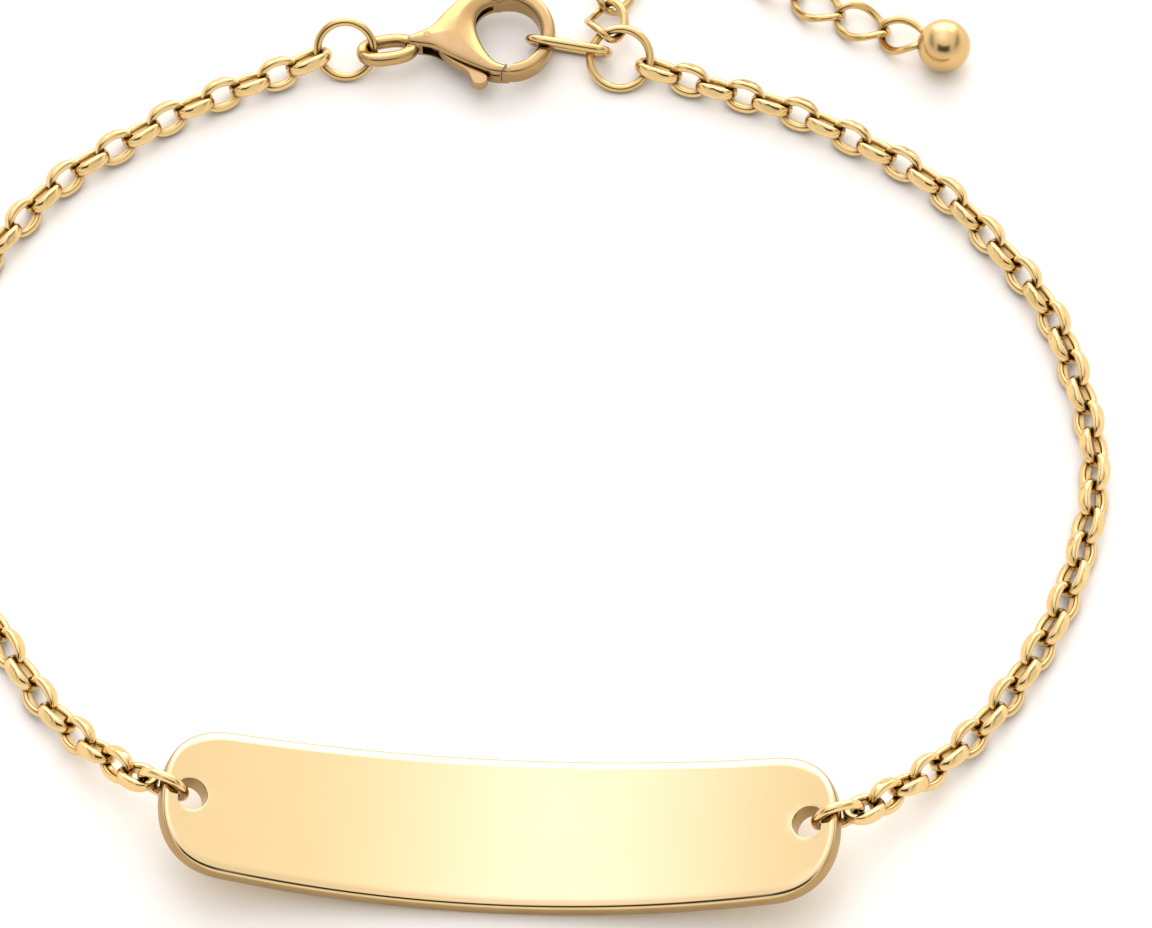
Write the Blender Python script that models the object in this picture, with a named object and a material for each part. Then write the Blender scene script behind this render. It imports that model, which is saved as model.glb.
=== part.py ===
# Name anklet, closed and lying on a table: a curved blank plate, two faceted
# cable chains, a lobster clasp, and a short extender chain that ends in a ball.
#
# Everything is in metres. X runs along the plate, Y from the plate to the
# clasp, Z up. The pieces are laid out round the middle of the plate, and the
# last step moves them so that the origin is the middle of the whole anklet's
# footprint, on the table.

import math

import bmesh
import bpy
from mathutils import Matrix, Vector

MM = 0.001

# Fits between pieces
HANG_GAP = 0.08 * MM        # between wires that hang in each other
LINK_BITE = 0.05 * MM       # how far touching links of one chain press together
PIVOT_GAP = 0.05 * MM       # round the clasp's rivet
LEVER_GAP = 0.10 * MM       # between lever and flanks

# Name plate
PLATE_LENGTH = 44.6 * MM
PLATE_WIDTH = 10.7 * MM
PLATE_BARREL = 0.45 * MM        # each side pulls in this much by the ends
PLATE_THICKNESS = 1.45 * MM
PLATE_BEND_RADIUS = 59.7 * MM   # of the underside
PLATE_EDGE_ROUND = 0.3 * MM
PLATE_END_DEPTH = 4.6 * MM      # length of each rounded end
PLATE_END_POWER = 2.4           # 2 is an ellipse, more is squarer
PLATE_SPANS = 17                # flat spans along the middle
PLATE_END_STEPS = 6
HOLE_DIAMETER = 2.2 * MM
HOLE_RIM = 0.8 * MM             # metal between a hole and the end
HOLE_SIDES = 20

# Cable chain
CHAIN_LINK_LENGTH = 2.97 * MM
CHAIN_LINK_WIDTH = 2.32 * MM
CHAIN_WIRE_RADIUS = 0.29 * MM
CHAIN_ROLL = math.radians(54)   # links lean to either side in turn, a right angle apart
CHAIN_END_TURN = math.radians(31)   # of the last link, to cross the plate link
CHAIN_END_LINKS = 3             # over which that turn grows
CHAIN_FIRST_EXTRA = 0.45 * MM   # length of the link on the jump ring over the others
CHAIN_HANG_GAP = 0.19 * MM
CHAIN_RING_ANGLE = math.radians(-14)    # round the right ring, where its chain hangs
CHAIN_LINK_STEPS = 10
CHAIN_WIRE_SIDES = 5
CHAIN_SQUARENESS = 2.2

# Links through the plate's holes
PLATE_LINK_PLAY = 0.15 * MM     # round the plate's rim
PLATE_LINK_STRETCH = 1.18       # length to width of its middle line
PLATE_LINK_PULL = 0.4 * MM      # outwards, as the chain draws it
PLATE_LINK_WIRE_RADIUS = 0.31 * MM
PLATE_LINK_TURN = math.radians(22)  # towards the clasp side
PLATE_LINK_DIP = math.radians(20)   # outer end down

# Jump rings
RING_DIAMETER_LEFT = 4.5 * MM
RING_DIAMETER_RIGHT = 4.75 * MM
RING_WIRE_RADIUS = 0.30 * MM
RING_STEPS = 16
RING_WIRE_SIDES = 6
RING_TILT_LEFT = math.radians(45)   # far side up
RING_TILT_RIGHT = math.radians(26)
RING_CENTRE_LEFT = (-14.0 * MM, 58.98 * MM)
RING_CENTRE_RIGHT = (4.94 * MM, 59.5 * MM)

# Connector link between clasp hook and right ring
CONNECTOR_LENGTH = 6.12 * MM
CONNECTOR_WIDTH = 3.5 * MM
CONNECTOR_WIRE_RADIUS = 0.31 * MM
CONNECTOR_SQUARENESS = 3.6
CONNECTOR_CENTRE = (1.37 * MM, 60.1 * MM)
CONNECTOR_TURN = math.radians(-8)
CONNECTOR_LEAN = math.radians(27)   # upper rail leans to the plate side

# Lobster clasp, in its own frame: X from tail to hook, Z through its depth
CLASP_TURN = math.radians(7.3)
CLASP_CENTRE = (-2.75 * MM, 60.7 * MM)
CLASP_MID_HEIGHT = 1.62 * MM
CLASP_DEPTH = 2.2 * MM
CLASP_EDGE_ROUND = 0.28 * MM
CLASP_SHOULDER = (              # neck, outside of the shoulder, top of the hook
    (-6.95, 0.25), (-6.3, 0.45), (-5.7, 0.66), (-5.1, 1.10), (-4.4, 1.88),
    (-3.5, 2.72), (-2.5, 3.35), (-1.4, 3.62), (-0.4, 3.66),
)
CLASP_THROAT = (                # inside of the hook, inner edge of the gate
    (-0.4, 2.48), (-1.1, 2.36), (-1.75, 2.02), (-2.2, 1.42), (-2.32, 0.6),
    (-2.15, -0.5), (-1.78, -1.5), (-1.22, -2.32), (-0.75, -2.7),
)
CLASP_GATE = (                  # gate tip, outer edge of the gate, neck
    (-0.9, -3.4), (-1.6, -3.22), (-2.6, -2.68), (-3.9, -1.82), (-5.0, -0.9),
    (-5.7, -0.66), (-6.3, -0.62), (-6.95, -0.7),
)
HOOK_HALF_LENGTH = 2.65 * MM    # of the line through the hook, tail to nose
HOOK_HALF_WIDTH = 3.02 * MM
HOOK_ROOT_ANGLE = math.radians(140)
HOOK_TIP_ANGLE = math.radians(-106)
HOOK_ROOT_WIDTH = 1.45 * MM
HOOK_TIP_WIDTH = 0.85 * MM
HOOK_ROOT_DEPTH = 2.1 * MM
HOOK_TIP_DEPTH = 1.4 * MM
HOOK_STEPS = 16
HOOK_SIDES = 8
TAIL_CENTRE = (-8.62 * MM, -0.44 * MM)
TAIL_LENGTH = 4.0 * MM
TAIL_WIDTH = 2.8 * MM
TAIL_BAND = 0.6 * MM
TAIL_DEPTH = 0.76 * MM
TAIL_TURN = math.radians(-5)
TAIL_ROLL = math.radians(-20)   # near side up, as the ring pulls it

# Clasp lever and its rivet
PIVOT_PLACE = (-5.72 * MM, 0.0)
RIVET_RADIUS = 0.25 * MM
RIVET_SINK = 0.05 * MM          # below the clasp's faces
LEVER_THICKNESS = 0.8 * MM
LEVER_BOSS_RADIUS = 0.52 * MM
GATE_START = 4.7 * MM           # from the pivot, where the flanks end
GATE_END = 5.93 * MM            # from the pivot, where the gate meets the hook
GATE_SEAM = 0.08 * MM
SLOT_REACH = 4.78 * MM
SLOT_FROM = math.radians(-82)
SLOT_TO = math.radians(28)
GATE_FROM = math.radians(-62)
GATE_TO = math.radians(-3)
LEVER_OUTLINE = (               # between the flanks, and the trigger outside
    (-2.5, -0.95), (-1.95, -1.6), (-1.42, -2.35), (-1.45, -2.95), (-2.1, -2.85),
    (-1.95, -3.2), (-1.95, -3.55),
    (-2.15, -3.84), (-2.48, -3.88), (-2.76, -3.66), (-2.86, -3.2), (-2.98, -2.75),
    (-3.3, -2.3), (-3.9, -1.7), (-4.9, -0.85),
)

# Extender chain and end ball
EXTENDER_LINKS = 8
EXTENDER_LINK_LENGTH = 4.25 * MM
EXTENDER_LINK_WIDTH = 3.0 * MM
EXTENDER_WIRE_RADIUS = 0.25 * MM
EXTENDER_STEPS = 12
EXTENDER_SIDES = 6
EXTENDER_TWIST = math.radians(-90)
BALL_RADIUS = 1.85 * MM
BALL_SINK = 0.8 * MM            # of the link's end into the ball
BALL_SEGMENTS = 16
BALL_RINGS = 10

# Routes of the three chains, chosen by hand: x and y in mm from the middle of
# the plate, and lift in mm above where a link lies on the table. Both ends of a
# route are worked out from what the chain hangs in, and the rows follow the
# plate's end when it moves from where it was as they were drawn.
DRAWN_PLATE_END = (22.97 * MM, 1.24 * MM, 4.05 * MM)
CHAIN_RIGHT_ROUTE = (
    (10.4, 57.9, 0.0), (14.35, 56.8, 0.0), (18.2, 55.45, 0.0), (21.45, 53.8, 0.0),
    (24.8, 52.0, 0.0), (27.75, 49.8, 0.0), (30.2, 47.1, 0.0), (32.1, 44.75, 0.0),
    (34.15, 42.1, 0.0), (35.65, 39.0, 0.0), (36.75, 35.6, 0.0), (37.65, 32.3, 0.0),
    (38.05, 28.75, 0.0), (37.8, 25.4, 0.0), (37.15, 22.3, 0.0), (36.3, 19.3, 0.0),
    (35.2, 16.5, 0.0), (33.85, 13.85, 0.0), (32.2, 11.1, 0.0), (30.2, 8.4, 0.1),
    (27.6, 5.55, 0.8), (25.4, 3.35, 2.1),
)
CHAIN_LEFT_ROUTE = (
    (-17.9, 57.45, 0.1), (-20.6, 56.2, 0.0), (-22.65, 55.15, 0.0), (-25.8, 53.3, 0.0),
    (-28.6, 51.1, 0.0), (-31.4, 49.1, 0.0), (-33.7, 46.6, 0.0), (-35.8, 43.6, 0.0),
    (-37.85, 40.2, 0.0), (-39.15, 36.2, 0.0), (-39.65, 31.9, 0.0), (-39.55, 27.6, 0.0),
    (-38.75, 23.2, 0.0), (-37.45, 19.1, 0.0), (-35.5, 15.5, 0.0), (-33.6, 12.8, 0.0),
    (-32.15, 10.5, 0.0), (-29.9, 7.5, 0.1), (-27.35, 4.95, 0.8), (-25.0, 2.75, 2.1),
)
EXTENDER_ROUTE = (
    (3.6, 62.5, 0.6), (3.9, 64.3, 0.1), (5.2, 67.2, 0.0), (8.0, 69.0, 0.0),
    (11.5, 69.0, 0.0), (14.5, 67.4, 0.0), (17.2, 65.5, 0.0), (20.2, 64.0, 0.0),
    (23.6, 62.7, 0.0), (26.8, 61.6, 0.0),
)

GOLD = (0.86, 0.60, 0.27)


def clear_scene():
    for obj in list(bpy.data.objects):
        bpy.data.objects.remove(obj, do_unlink=True)


def gold(name, roughness, colour=GOLD):
    """A polished gold finish."""
    finish = bpy.data.materials.new(name)
    finish.use_nodes = True
    shader = finish.node_tree.nodes["Principled BSDF"]
    shader.inputs["Base Color"].default_value = (*colour, 1.0)
    shader.inputs["Metallic"].default_value = 1.0
    shader.inputs["Roughness"].default_value = roughness
    return finish


def add_piece(name, bm, finish, parent, place=None, smooth_angle=35):
    """Turn a bmesh into a named object under the given parent."""
    bmesh.ops.recalc_face_normals(bm, faces=bm.faces)
    mesh = bpy.data.meshes.new(name)
    bm.to_mesh(mesh)
    bm.free()
    mesh.shade_smooth()
    mesh.set_sharp_from_angle(angle=math.radians(smooth_angle))
    obj = bpy.data.objects.new(name, mesh)
    bpy.context.scene.collection.objects.link(obj)
    mesh.materials.append(finish)
    obj.parent = parent
    if place is not None:
        obj.matrix_local = place
    return obj


def make_guide(name, bm, parent, place=None):
    """A hidden shape that only cuts, trims or joins another."""
    guide = add_piece(name, bm, gold(name + "_finish", 0.3), parent, place)
    guide.hide_render = True
    guide.display_type = "WIRE"
    return guide


def combine(obj, operation, guide):
    modifier = obj.modifiers.new(operation.lower() + "_" + guide.name, "BOOLEAN")
    modifier.operation = operation
    modifier.solver = "EXACT"
    modifier.object = guide


def skin_rings(bm, rings, closed):
    """Faces between neighbouring rings of vertices, each ring closed."""
    count = len(rings)
    last = count if closed else count - 1
    for i in range(last):
        here, there = rings[i], rings[(i + 1) % count]
        sides = len(here)
        for k in range(sides):
            j = (k + 1) % sides
            bm.faces.new((here[k], here[j], there[j], there[k]))


def extrude_outline(points, bottom, top, edge_round=0.0):
    """A flat outline given depth, its rims bevelled."""
    bm = bmesh.new()
    face = bm.faces.new([bm.verts.new((x, y, bottom)) for x, y in points])
    made = bmesh.ops.extrude_face_region(bm, geom=[face])
    raised = [item for item in made["geom"] if isinstance(item, bmesh.types.BMVert)]
    bmesh.ops.translate(bm, vec=(0, 0, top - bottom), verts=raised)
    if edge_round > 0:
        rims = [edge for edge in bm.edges
                if abs(edge.verts[0].co.z - edge.verts[1].co.z) < (top - bottom) / 2]
        bmesh.ops.bevel(bm, geom=rims, offset=edge_round, segments=1,
                        affect="EDGES", clamp_overlap=True)
    return bm


def arc_points(centre, radius, start, end, steps):
    return [(centre[0] + radius * math.cos(start + (end - start) * k / steps),
             centre[1] + radius * math.sin(start + (end - start) * k / steps))
            for k in range(steps + 1)]


def curve_value(before, start, end, after, share):
    """One number on the smooth curve that passes through start and end."""
    return 0.5 * (2 * start + (end - before) * share
                  + (2 * before - 5 * start + 4 * end - after) * share ** 2
                  + (3 * start - before - 3 * end + after) * share ** 3)


def smooth_run(points, steps):
    """More rows between the given rows of numbers, on a smooth curve."""
    rows = []
    for i in range(len(points) - 1):
        before = points[max(i - 1, 0)]
        start, end = points[i], points[i + 1]
        after = points[min(i + 2, len(points) - 1)]
        for k in range(steps):
            share = k / steps
            rows.append(tuple(curve_value(*column, share)
                              for column in zip(before, start, end, after)))
    rows.append(tuple(points[-1]))
    return rows


def in_mm(rows):
    return [tuple(value * MM for value in row) for row in rows]


# Plate


def plate_point(along, across, height):
    """A point of the bent plate from its place on the flat blank."""
    angle = along / (PLATE_BEND_RADIUS - PLATE_THICKNESS / 2)
    radius = PLATE_BEND_RADIUS - height
    return Vector((radius * math.sin(angle), across,
                   PLATE_BEND_RADIUS - radius * math.cos(angle)))


def plate_half_outline(inset):
    """Along and across values from one tip to the other, on the +Y side."""
    half = PLATE_LENGTH / 2 - inset
    depth = PLATE_END_DEPTH - inset
    straight = half - depth

    def side(along):
        return PLATE_WIDTH / 2 - inset - PLATE_BARREL * (along / half) ** 2

    end = []
    for k in range(PLATE_END_STEPS):
        turn = math.pi / 2 * k / PLATE_END_STEPS
        along = straight + depth * math.cos(turn) ** (2 / PLATE_END_POWER)
        end.append((along, side(along) * math.sin(turn) ** (2 / PLATE_END_POWER)))
    middle = [straight * (1 - 2 * k / PLATE_SPANS) for k in range(PLATE_SPANS + 1)]
    row = end + [(along, side(along)) for along in middle]
    return row + [(-along, across) for along, across in reversed(end)]


def build_plate_blank():
    bm = bmesh.new()
    sections = ((PLATE_EDGE_ROUND, 0.0), (0.0, PLATE_EDGE_ROUND),
                (0.0, PLATE_THICKNESS - PLATE_EDGE_ROUND), (PLATE_EDGE_ROUND, PLATE_THICKNESS))
    rings = []
    for inset, height in sections:
        half = plate_half_outline(inset)
        loop = half + [(along, -across) for along, across in reversed(half[1:-1])]
        rings.append([bm.verts.new(plate_point(along, across, height))
                      for along, across in loop])
    skin_rings(bm, rings, closed=False)
    for ring in (rings[0], rings[-1]):
        count = len(ring)
        for i in range(count // 2):
            near, far = ring[-i % count], ring[-(i + 1)]
            corners = [ring[i], ring[i + 1], far, near]
            bm.faces.new(list(dict.fromkeys(corners)))
    return bm


def hole_place(side):
    """Middle of a hole and the plate's own direction out of its face."""
    along = side * (PLATE_LENGTH / 2 - HOLE_RIM - HOLE_DIAMETER / 2)
    middle = plate_point(along, 0.0, PLATE_THICKNESS / 2)
    upper = plate_point(along, 0.0, PLATE_THICKNESS)
    return middle, (upper - middle).normalized()


def build_plate(finish, parent):
    plate = add_piece("name_plate", build_plate_blank(), finish, parent)
    for label, side in (("left", -1), ("right", 1)):
        middle, axis = hole_place(side)
        bm = bmesh.new()
        bmesh.ops.create_cone(bm, cap_ends=True, segments=HOLE_SIDES,
                              radius1=HOLE_DIAMETER / 2, radius2=HOLE_DIAMETER / 2,
                              depth=PLATE_THICKNESS * 3)
        turn = Vector((0, 0, 1)).rotation_difference(axis).to_matrix().to_4x4()
        combine(plate, "DIFFERENCE",
                make_guide("hole_" + label, bm, parent, Matrix.Translation(middle) @ turn))
    return plate


# Links and rings


def power(value, exponent):
    return math.copysign(abs(value) ** exponent, value)


def oval_link(half_length, half_width, radii, steps, sides, squareness=2.0, twist=0.0,
              flat_inside=False):
    """A closed link of wire. half_length and half_width are to the wire's middle."""
    bm = bmesh.new()
    add_oval_link(bm, Matrix.Identity(4), half_length, half_width, radii, steps, sides,
                  squareness, twist, flat_inside)
    return bm


def add_oval_link(bm, place, half_length, half_width, radii, steps, sides,
                  squareness=2.0, twist=0.0, flat_inside=False):
    reach = half_length / math.cos(math.pi / steps) ** (2 / squareness)
    rings = []
    for i in range(steps):
        angle = 2 * math.pi * (i + 0.5) / steps
        cosine, sine = math.cos(angle), math.sin(angle)
        along = reach * power(cosine, 2 / squareness)
        across = half_width * power(sine, 2 / squareness)
        lean = twist * along / (2 * reach)
        side = Vector((0.0, math.cos(lean), math.sin(lean)))
        up = Vector((0.0, -math.sin(lean), math.cos(lean)))
        outward = (Vector((1.0, 0.0, 0.0)) * power(cosine, 2 - 2 / squareness) / reach
                   + side * power(sine, 2 - 2 / squareness) / half_width).normalized()
        middle = Vector((along, 0.0, 0.0)) + side * across
        ring = []
        for k in range(sides):
            turn = 2 * math.pi * (k + (0.5 if flat_inside else 0.0)) / sides
            point = (middle + outward * (radii[0] * math.cos(turn))
                     + up * (radii[1] * math.sin(turn)))
            ring.append(bm.verts.new(place @ point))
        rings.append(ring)
    skin_rings(bm, rings, closed=True)


def link_place(middle, direction, roll):
    """Matrix that lays a link's length along a direction and rolls its width."""
    forward = direction.normalized()
    side = Vector((0.0, 0.0, 1.0)).cross(forward).normalized()
    upright = forward.cross(side)
    across = side * math.cos(roll) + upright * math.sin(roll)
    normal = forward.cross(across)
    turn = Matrix((forward, across, normal)).transposed().to_4x4()
    return Matrix.Translation(middle) @ turn


# Chains


def chain_line(route, start, end, lying_height):
    """Points along a chain, from its first joint to its last."""
    rows = [tuple(start)]
    rows += [tuple(route_point(row, lying_height)) for row in route]
    if end is not None:
        rows.append(tuple(end))
    return [Vector(row) for row in smooth_run(rows, 16)]


def spread_joints(line, pitch, first_extra=0.0, links=None):
    """Joints between links, one pitch apart, or a little more so that an even
    number of links fills the line. The first link may be longer."""
    lengths = [0.0]
    for i in range(1, len(line)):
        lengths.append(lengths[-1] + (line[i] - line[i - 1]).length)
    if links is None:
        links = 2 * int((lengths[-1] - first_extra) / pitch / 2)
        pitch = (lengths[-1] - first_extra) / links
    joints = []
    i = 0
    for k in range(links + 1):
        wanted = pitch * k + (first_extra if k else 0.0)
        while i < len(line) - 2 and lengths[i + 1] < wanted:
            i += 1
        share = (wanted - lengths[i]) / (lengths[i + 1] - lengths[i])
        joints.append(line[i].lerp(line[i + 1], share))
    return joints


def fused_chain(name, joints, rolls, end_turn, link_sizes, finish, parent, first_extra=0.0):
    """All links of a chain as one body: every second link is joined on."""
    groups = [bmesh.new(), bmesh.new()]
    last = len(joints) - 2
    for i in range(last + 1):
        start, end = joints[i], joints[i + 1]
        near_end = max(0.0, 1 - (last - i) / CHAIN_END_LINKS)
        place = link_place((start + end) / 2, end - start, rolls[i % 2] + end_turn * near_end)
        sizes = dict(link_sizes)
        if i == 0:
            sizes["half_length"] += first_extra / 2
        add_oval_link(groups[i % 2], place, **sizes)
    chain = add_piece(name, groups[0], finish, parent)
    combine(chain, "UNION", make_guide(name + "_second_links", groups[1], parent))
    return chain


def inside_reach(half_length, half_width, radii, steps, sides, squareness=2.0, twist=0.0,
                 flat_inside=False):
    """From the middle of a link to the inner side of the wire at its end."""
    inward = radii[0]
    if sides % 2 or flat_inside:
        inward *= math.cos(math.pi / sides)
    angle = math.pi / steps
    reach = half_length / math.cos(angle) ** (2 / squareness)
    along = math.cos(angle) ** (2 - 2 / squareness) / reach
    across = math.sin(angle) ** (2 - 2 / squareness) / half_width
    return half_length - inward * along / math.hypot(along, across)


CABLE_LINK = dict(
    half_length=CHAIN_LINK_LENGTH / 2 - CHAIN_WIRE_RADIUS,
    half_width=CHAIN_LINK_WIDTH / 2 - CHAIN_WIRE_RADIUS,
    radii=(CHAIN_WIRE_RADIUS, CHAIN_WIRE_RADIUS),
    steps=CHAIN_LINK_STEPS, sides=CHAIN_WIRE_SIDES, squareness=CHAIN_SQUARENESS)
CABLE_PITCH = 2 * inside_reach(**CABLE_LINK) + LINK_BITE

CURB_LINK = dict(
    half_length=EXTENDER_LINK_LENGTH / 2 - EXTENDER_WIRE_RADIUS,
    half_width=EXTENDER_LINK_WIDTH / 2 - EXTENDER_WIRE_RADIUS,
    radii=(EXTENDER_WIRE_RADIUS, EXTENDER_WIRE_RADIUS),
    steps=EXTENDER_STEPS, sides=EXTENDER_SIDES, twist=EXTENDER_TWIST, flat_inside=True)
CURB_REACH = inside_reach(**CURB_LINK)
CURB_PITCH = 2 * CURB_REACH + LINK_BITE


# Heights of the chains' middle lines when they lie on the table
CABLE_HEIGHT = (CABLE_LINK["half_width"] * max(math.sin(CHAIN_ROLL), math.cos(CHAIN_ROLL))
                + CHAIN_WIRE_RADIUS)
CURB_HEIGHT = (CURB_LINK["half_width"] * math.sin(abs(EXTENDER_TWIST) / 2) * 0.62
               + EXTENDER_WIRE_RADIUS)


# Rings


def ring_sizes(diameter):
    middle = diameter / 2 - RING_WIRE_RADIUS
    return dict(half_length=middle, half_width=middle,
                radii=(RING_WIRE_RADIUS, RING_WIRE_RADIUS),
                steps=RING_STEPS, sides=RING_WIRE_SIDES, flat_inside=True)


def ring_place(centre, diameter, tilt):
    """A ring that stands on its near edge with its far side raised."""
    radius = diameter / 2 - RING_WIRE_RADIUS
    height = RING_WIRE_RADIUS + radius * math.sin(tilt)
    return (Matrix.Translation((centre[0], centre[1], height))
            @ Matrix.Rotation(tilt, 4, "X"))


def ring_point(place, diameter, angle):
    """Middle of a ring's wire at an angle round it."""
    radius = diameter / 2 - RING_WIRE_RADIUS
    return place @ Vector((radius * math.cos(angle), radius * math.sin(angle), 0.0))


RING_LEFT_PLACE = ring_place(RING_CENTRE_LEFT, RING_DIAMETER_LEFT, RING_TILT_LEFT)
RING_RIGHT_PLACE = ring_place(RING_CENTRE_RIGHT, RING_DIAMETER_RIGHT, RING_TILT_RIGHT)


def build_rings(finish, parent):
    add_piece("jump_ring_left", oval_link(**ring_sizes(RING_DIAMETER_LEFT)), finish, parent,
              RING_LEFT_PLACE)
    add_piece("jump_ring_right", oval_link(**ring_sizes(RING_DIAMETER_RIGHT)), finish, parent,
              RING_RIGHT_PLACE)


def connector_place():
    across = CONNECTOR_WIDTH / 2 - CONNECTOR_WIRE_RADIUS
    height = CONNECTOR_WIRE_RADIUS + across * math.cos(CONNECTOR_LEAN)
    middle = Vector((CONNECTOR_CENTRE[0], CONNECTOR_CENTRE[1], height))
    forward = Vector((math.cos(CONNECTOR_TURN), math.sin(CONNECTOR_TURN), 0.0))
    return link_place(middle, forward, math.pi / 2 + CONNECTOR_LEAN)


def build_connector(finish, parent):
    link = oval_link(half_length=CONNECTOR_LENGTH / 2 - CONNECTOR_WIRE_RADIUS,
                     half_width=CONNECTOR_WIDTH / 2 - CONNECTOR_WIRE_RADIUS,
                     radii=(CONNECTOR_WIRE_RADIUS, CONNECTOR_WIRE_RADIUS),
                     steps=RING_STEPS, sides=RING_WIRE_SIDES,
                     squareness=CONNECTOR_SQUARENESS)
    return add_piece("connector_link", link, finish, parent, connector_place())


# Links through the plate


def plate_link_sizes():
    """Inside, the link clears the plate's rim on every side."""
    rim = math.hypot(HOLE_RIM, PLATE_THICKNESS)
    inside = rim / 2 + PLATE_LINK_PLAY
    middle = inside + PLATE_LINK_WIRE_RADIUS
    return dict(half_length=middle * PLATE_LINK_STRETCH, half_width=middle,
                radii=(PLATE_LINK_WIRE_RADIUS, PLATE_LINK_WIRE_RADIUS),
                steps=12, sides=5, squareness=2.2)


def plate_link_place(side):
    """The link stands on edge round the metal between hole and end."""
    out = (HOLE_DIAMETER + HOLE_RIM) / 2
    along = PLATE_LENGTH / 2 - HOLE_RIM - HOLE_DIAMETER / 2 + out * math.cos(PLATE_LINK_TURN)
    middle = plate_point(side * along, out * math.sin(PLATE_LINK_TURN), PLATE_THICKNESS / 2)
    flat = math.cos(PLATE_LINK_DIP)
    direction = Vector((side * math.cos(PLATE_LINK_TURN) * flat,
                        math.sin(PLATE_LINK_TURN) * flat, -math.sin(PLATE_LINK_DIP)))
    return link_place(middle + direction * PLATE_LINK_PULL, direction, math.pi / 2)


def build_plate_links(finish, parent):
    for label, side in (("left", -1), ("right", 1)):
        add_piece("plate_link_" + label, oval_link(**plate_link_sizes()), finish, parent,
                  plate_link_place(side))


# Chains between the rings and the plate


def first_joint(wire_middle, wire_radius, towards, gap):
    """Where a chain begins whose first link goes round a wire."""
    direction = (towards - wire_middle).normalized()
    return wire_middle - direction * (wire_radius + gap + LINK_BITE / 2)


def route_point(row, lying_height):
    return Vector((row[0] * MM, row[1] * MM, row[2] * MM + lying_height))


def fitted_route(route, side, near_plate):
    """A route as it was drawn, its lower end moved as the plate's end has moved."""
    outward = (side * near_plate.x - DRAWN_PLATE_END[0]) / MM
    upward = (near_plate.y - DRAWN_PLATE_END[1]) / MM
    raised = near_plate.z / DRAWN_PLATE_END[2]
    rows = []
    for k in range(len(route)):
        x, y, lift = route[k]
        share = (k + 1) / len(route)
        rows.append((x + side * outward * share, y + upward * share, lift * raised))
    return rows


def build_chain(name, route, ring_wire, rolls, side, finish, parent):
    """A cable chain from a point of a jump ring's wire to a plate link."""
    sizes = plate_link_sizes()
    near_plate = plate_link_place(side) @ Vector((sizes["half_length"], 0.0, 0.0))
    route = fitted_route(route, side, near_plate)
    start = first_joint(ring_wire, RING_WIRE_RADIUS, route_point(route[0], CABLE_HEIGHT),
                        CHAIN_HANG_GAP)
    end = first_joint(near_plate, PLATE_LINK_WIRE_RADIUS, route_point(route[-1], CABLE_HEIGHT),
                      CHAIN_HANG_GAP)
    joints = spread_joints(chain_line(route, start, end, CABLE_HEIGHT), CABLE_PITCH,
                           CHAIN_FIRST_EXTRA)
    return fused_chain(name, joints, rolls, -side * CHAIN_END_TURN, CABLE_LINK, finish, parent,
                       CHAIN_FIRST_EXTRA)


def build_extender(finish, ball_finish, parent):
    near_ring = ring_point(RING_RIGHT_PLACE, RING_DIAMETER_RIGHT, math.radians(121))
    start = first_joint(near_ring, RING_WIRE_RADIUS, route_point(EXTENDER_ROUTE[0], CURB_HEIGHT),
                        HANG_GAP)
    line = chain_line(EXTENDER_ROUTE, start, None, CURB_HEIGHT)
    joints = spread_joints(line, CURB_PITCH, links=EXTENDER_LINKS)
    fused_chain("extender_chain", joints, (0.0, 0.0), 0.0, CURB_LINK, finish, parent)

    last, before = joints[-1], joints[-2]
    heading = last - before
    heading.z = 0.0
    heading.normalize()
    reach = CURB_LINK["half_length"]
    link_to_ball = reach + BALL_RADIUS - BALL_SINK
    start_to_ball = CURB_REACH - LINK_BITE / 2 - HANG_GAP + link_to_ball
    rise = BALL_RADIUS - last.z
    flat = math.sqrt(start_to_ball ** 2 - rise ** 2)
    ball_middle = last + heading * flat + Vector((0.0, 0.0, rise))
    direction = (ball_middle - last).normalized()
    middle = ball_middle - direction * link_to_ball
    ball = bmesh.new()
    bmesh.ops.create_uvsphere(ball, u_segments=BALL_SEGMENTS, v_segments=BALL_RINGS,
                              radius=BALL_RADIUS)
    piece = add_piece("extender_ball", ball, ball_finish, parent,
                      Matrix.Translation(ball_middle))
    link = make_guide("ball_link", oval_link(**CURB_LINK), parent,
                      link_place(middle, direction, 0.0))
    combine(piece, "UNION", link)
    return piece


# Clasp


def clasp_place():
    return (Matrix.Translation((CLASP_CENTRE[0], CLASP_CENTRE[1], CLASP_MID_HEIGHT))
            @ Matrix.Rotation(CLASP_TURN, 4, "Z"))


def clasp_slab():
    """Shoulder, flanks and gate as one solid of the clasp's full depth."""
    outline = []
    for run in (CLASP_SHOULDER, CLASP_THROAT, CLASP_GATE):
        outline += in_mm(smooth_run(run, 2))
    return extrude_outline(outline, -CLASP_DEPTH / 2, CLASP_DEPTH / 2, CLASP_EDGE_ROUND)


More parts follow.
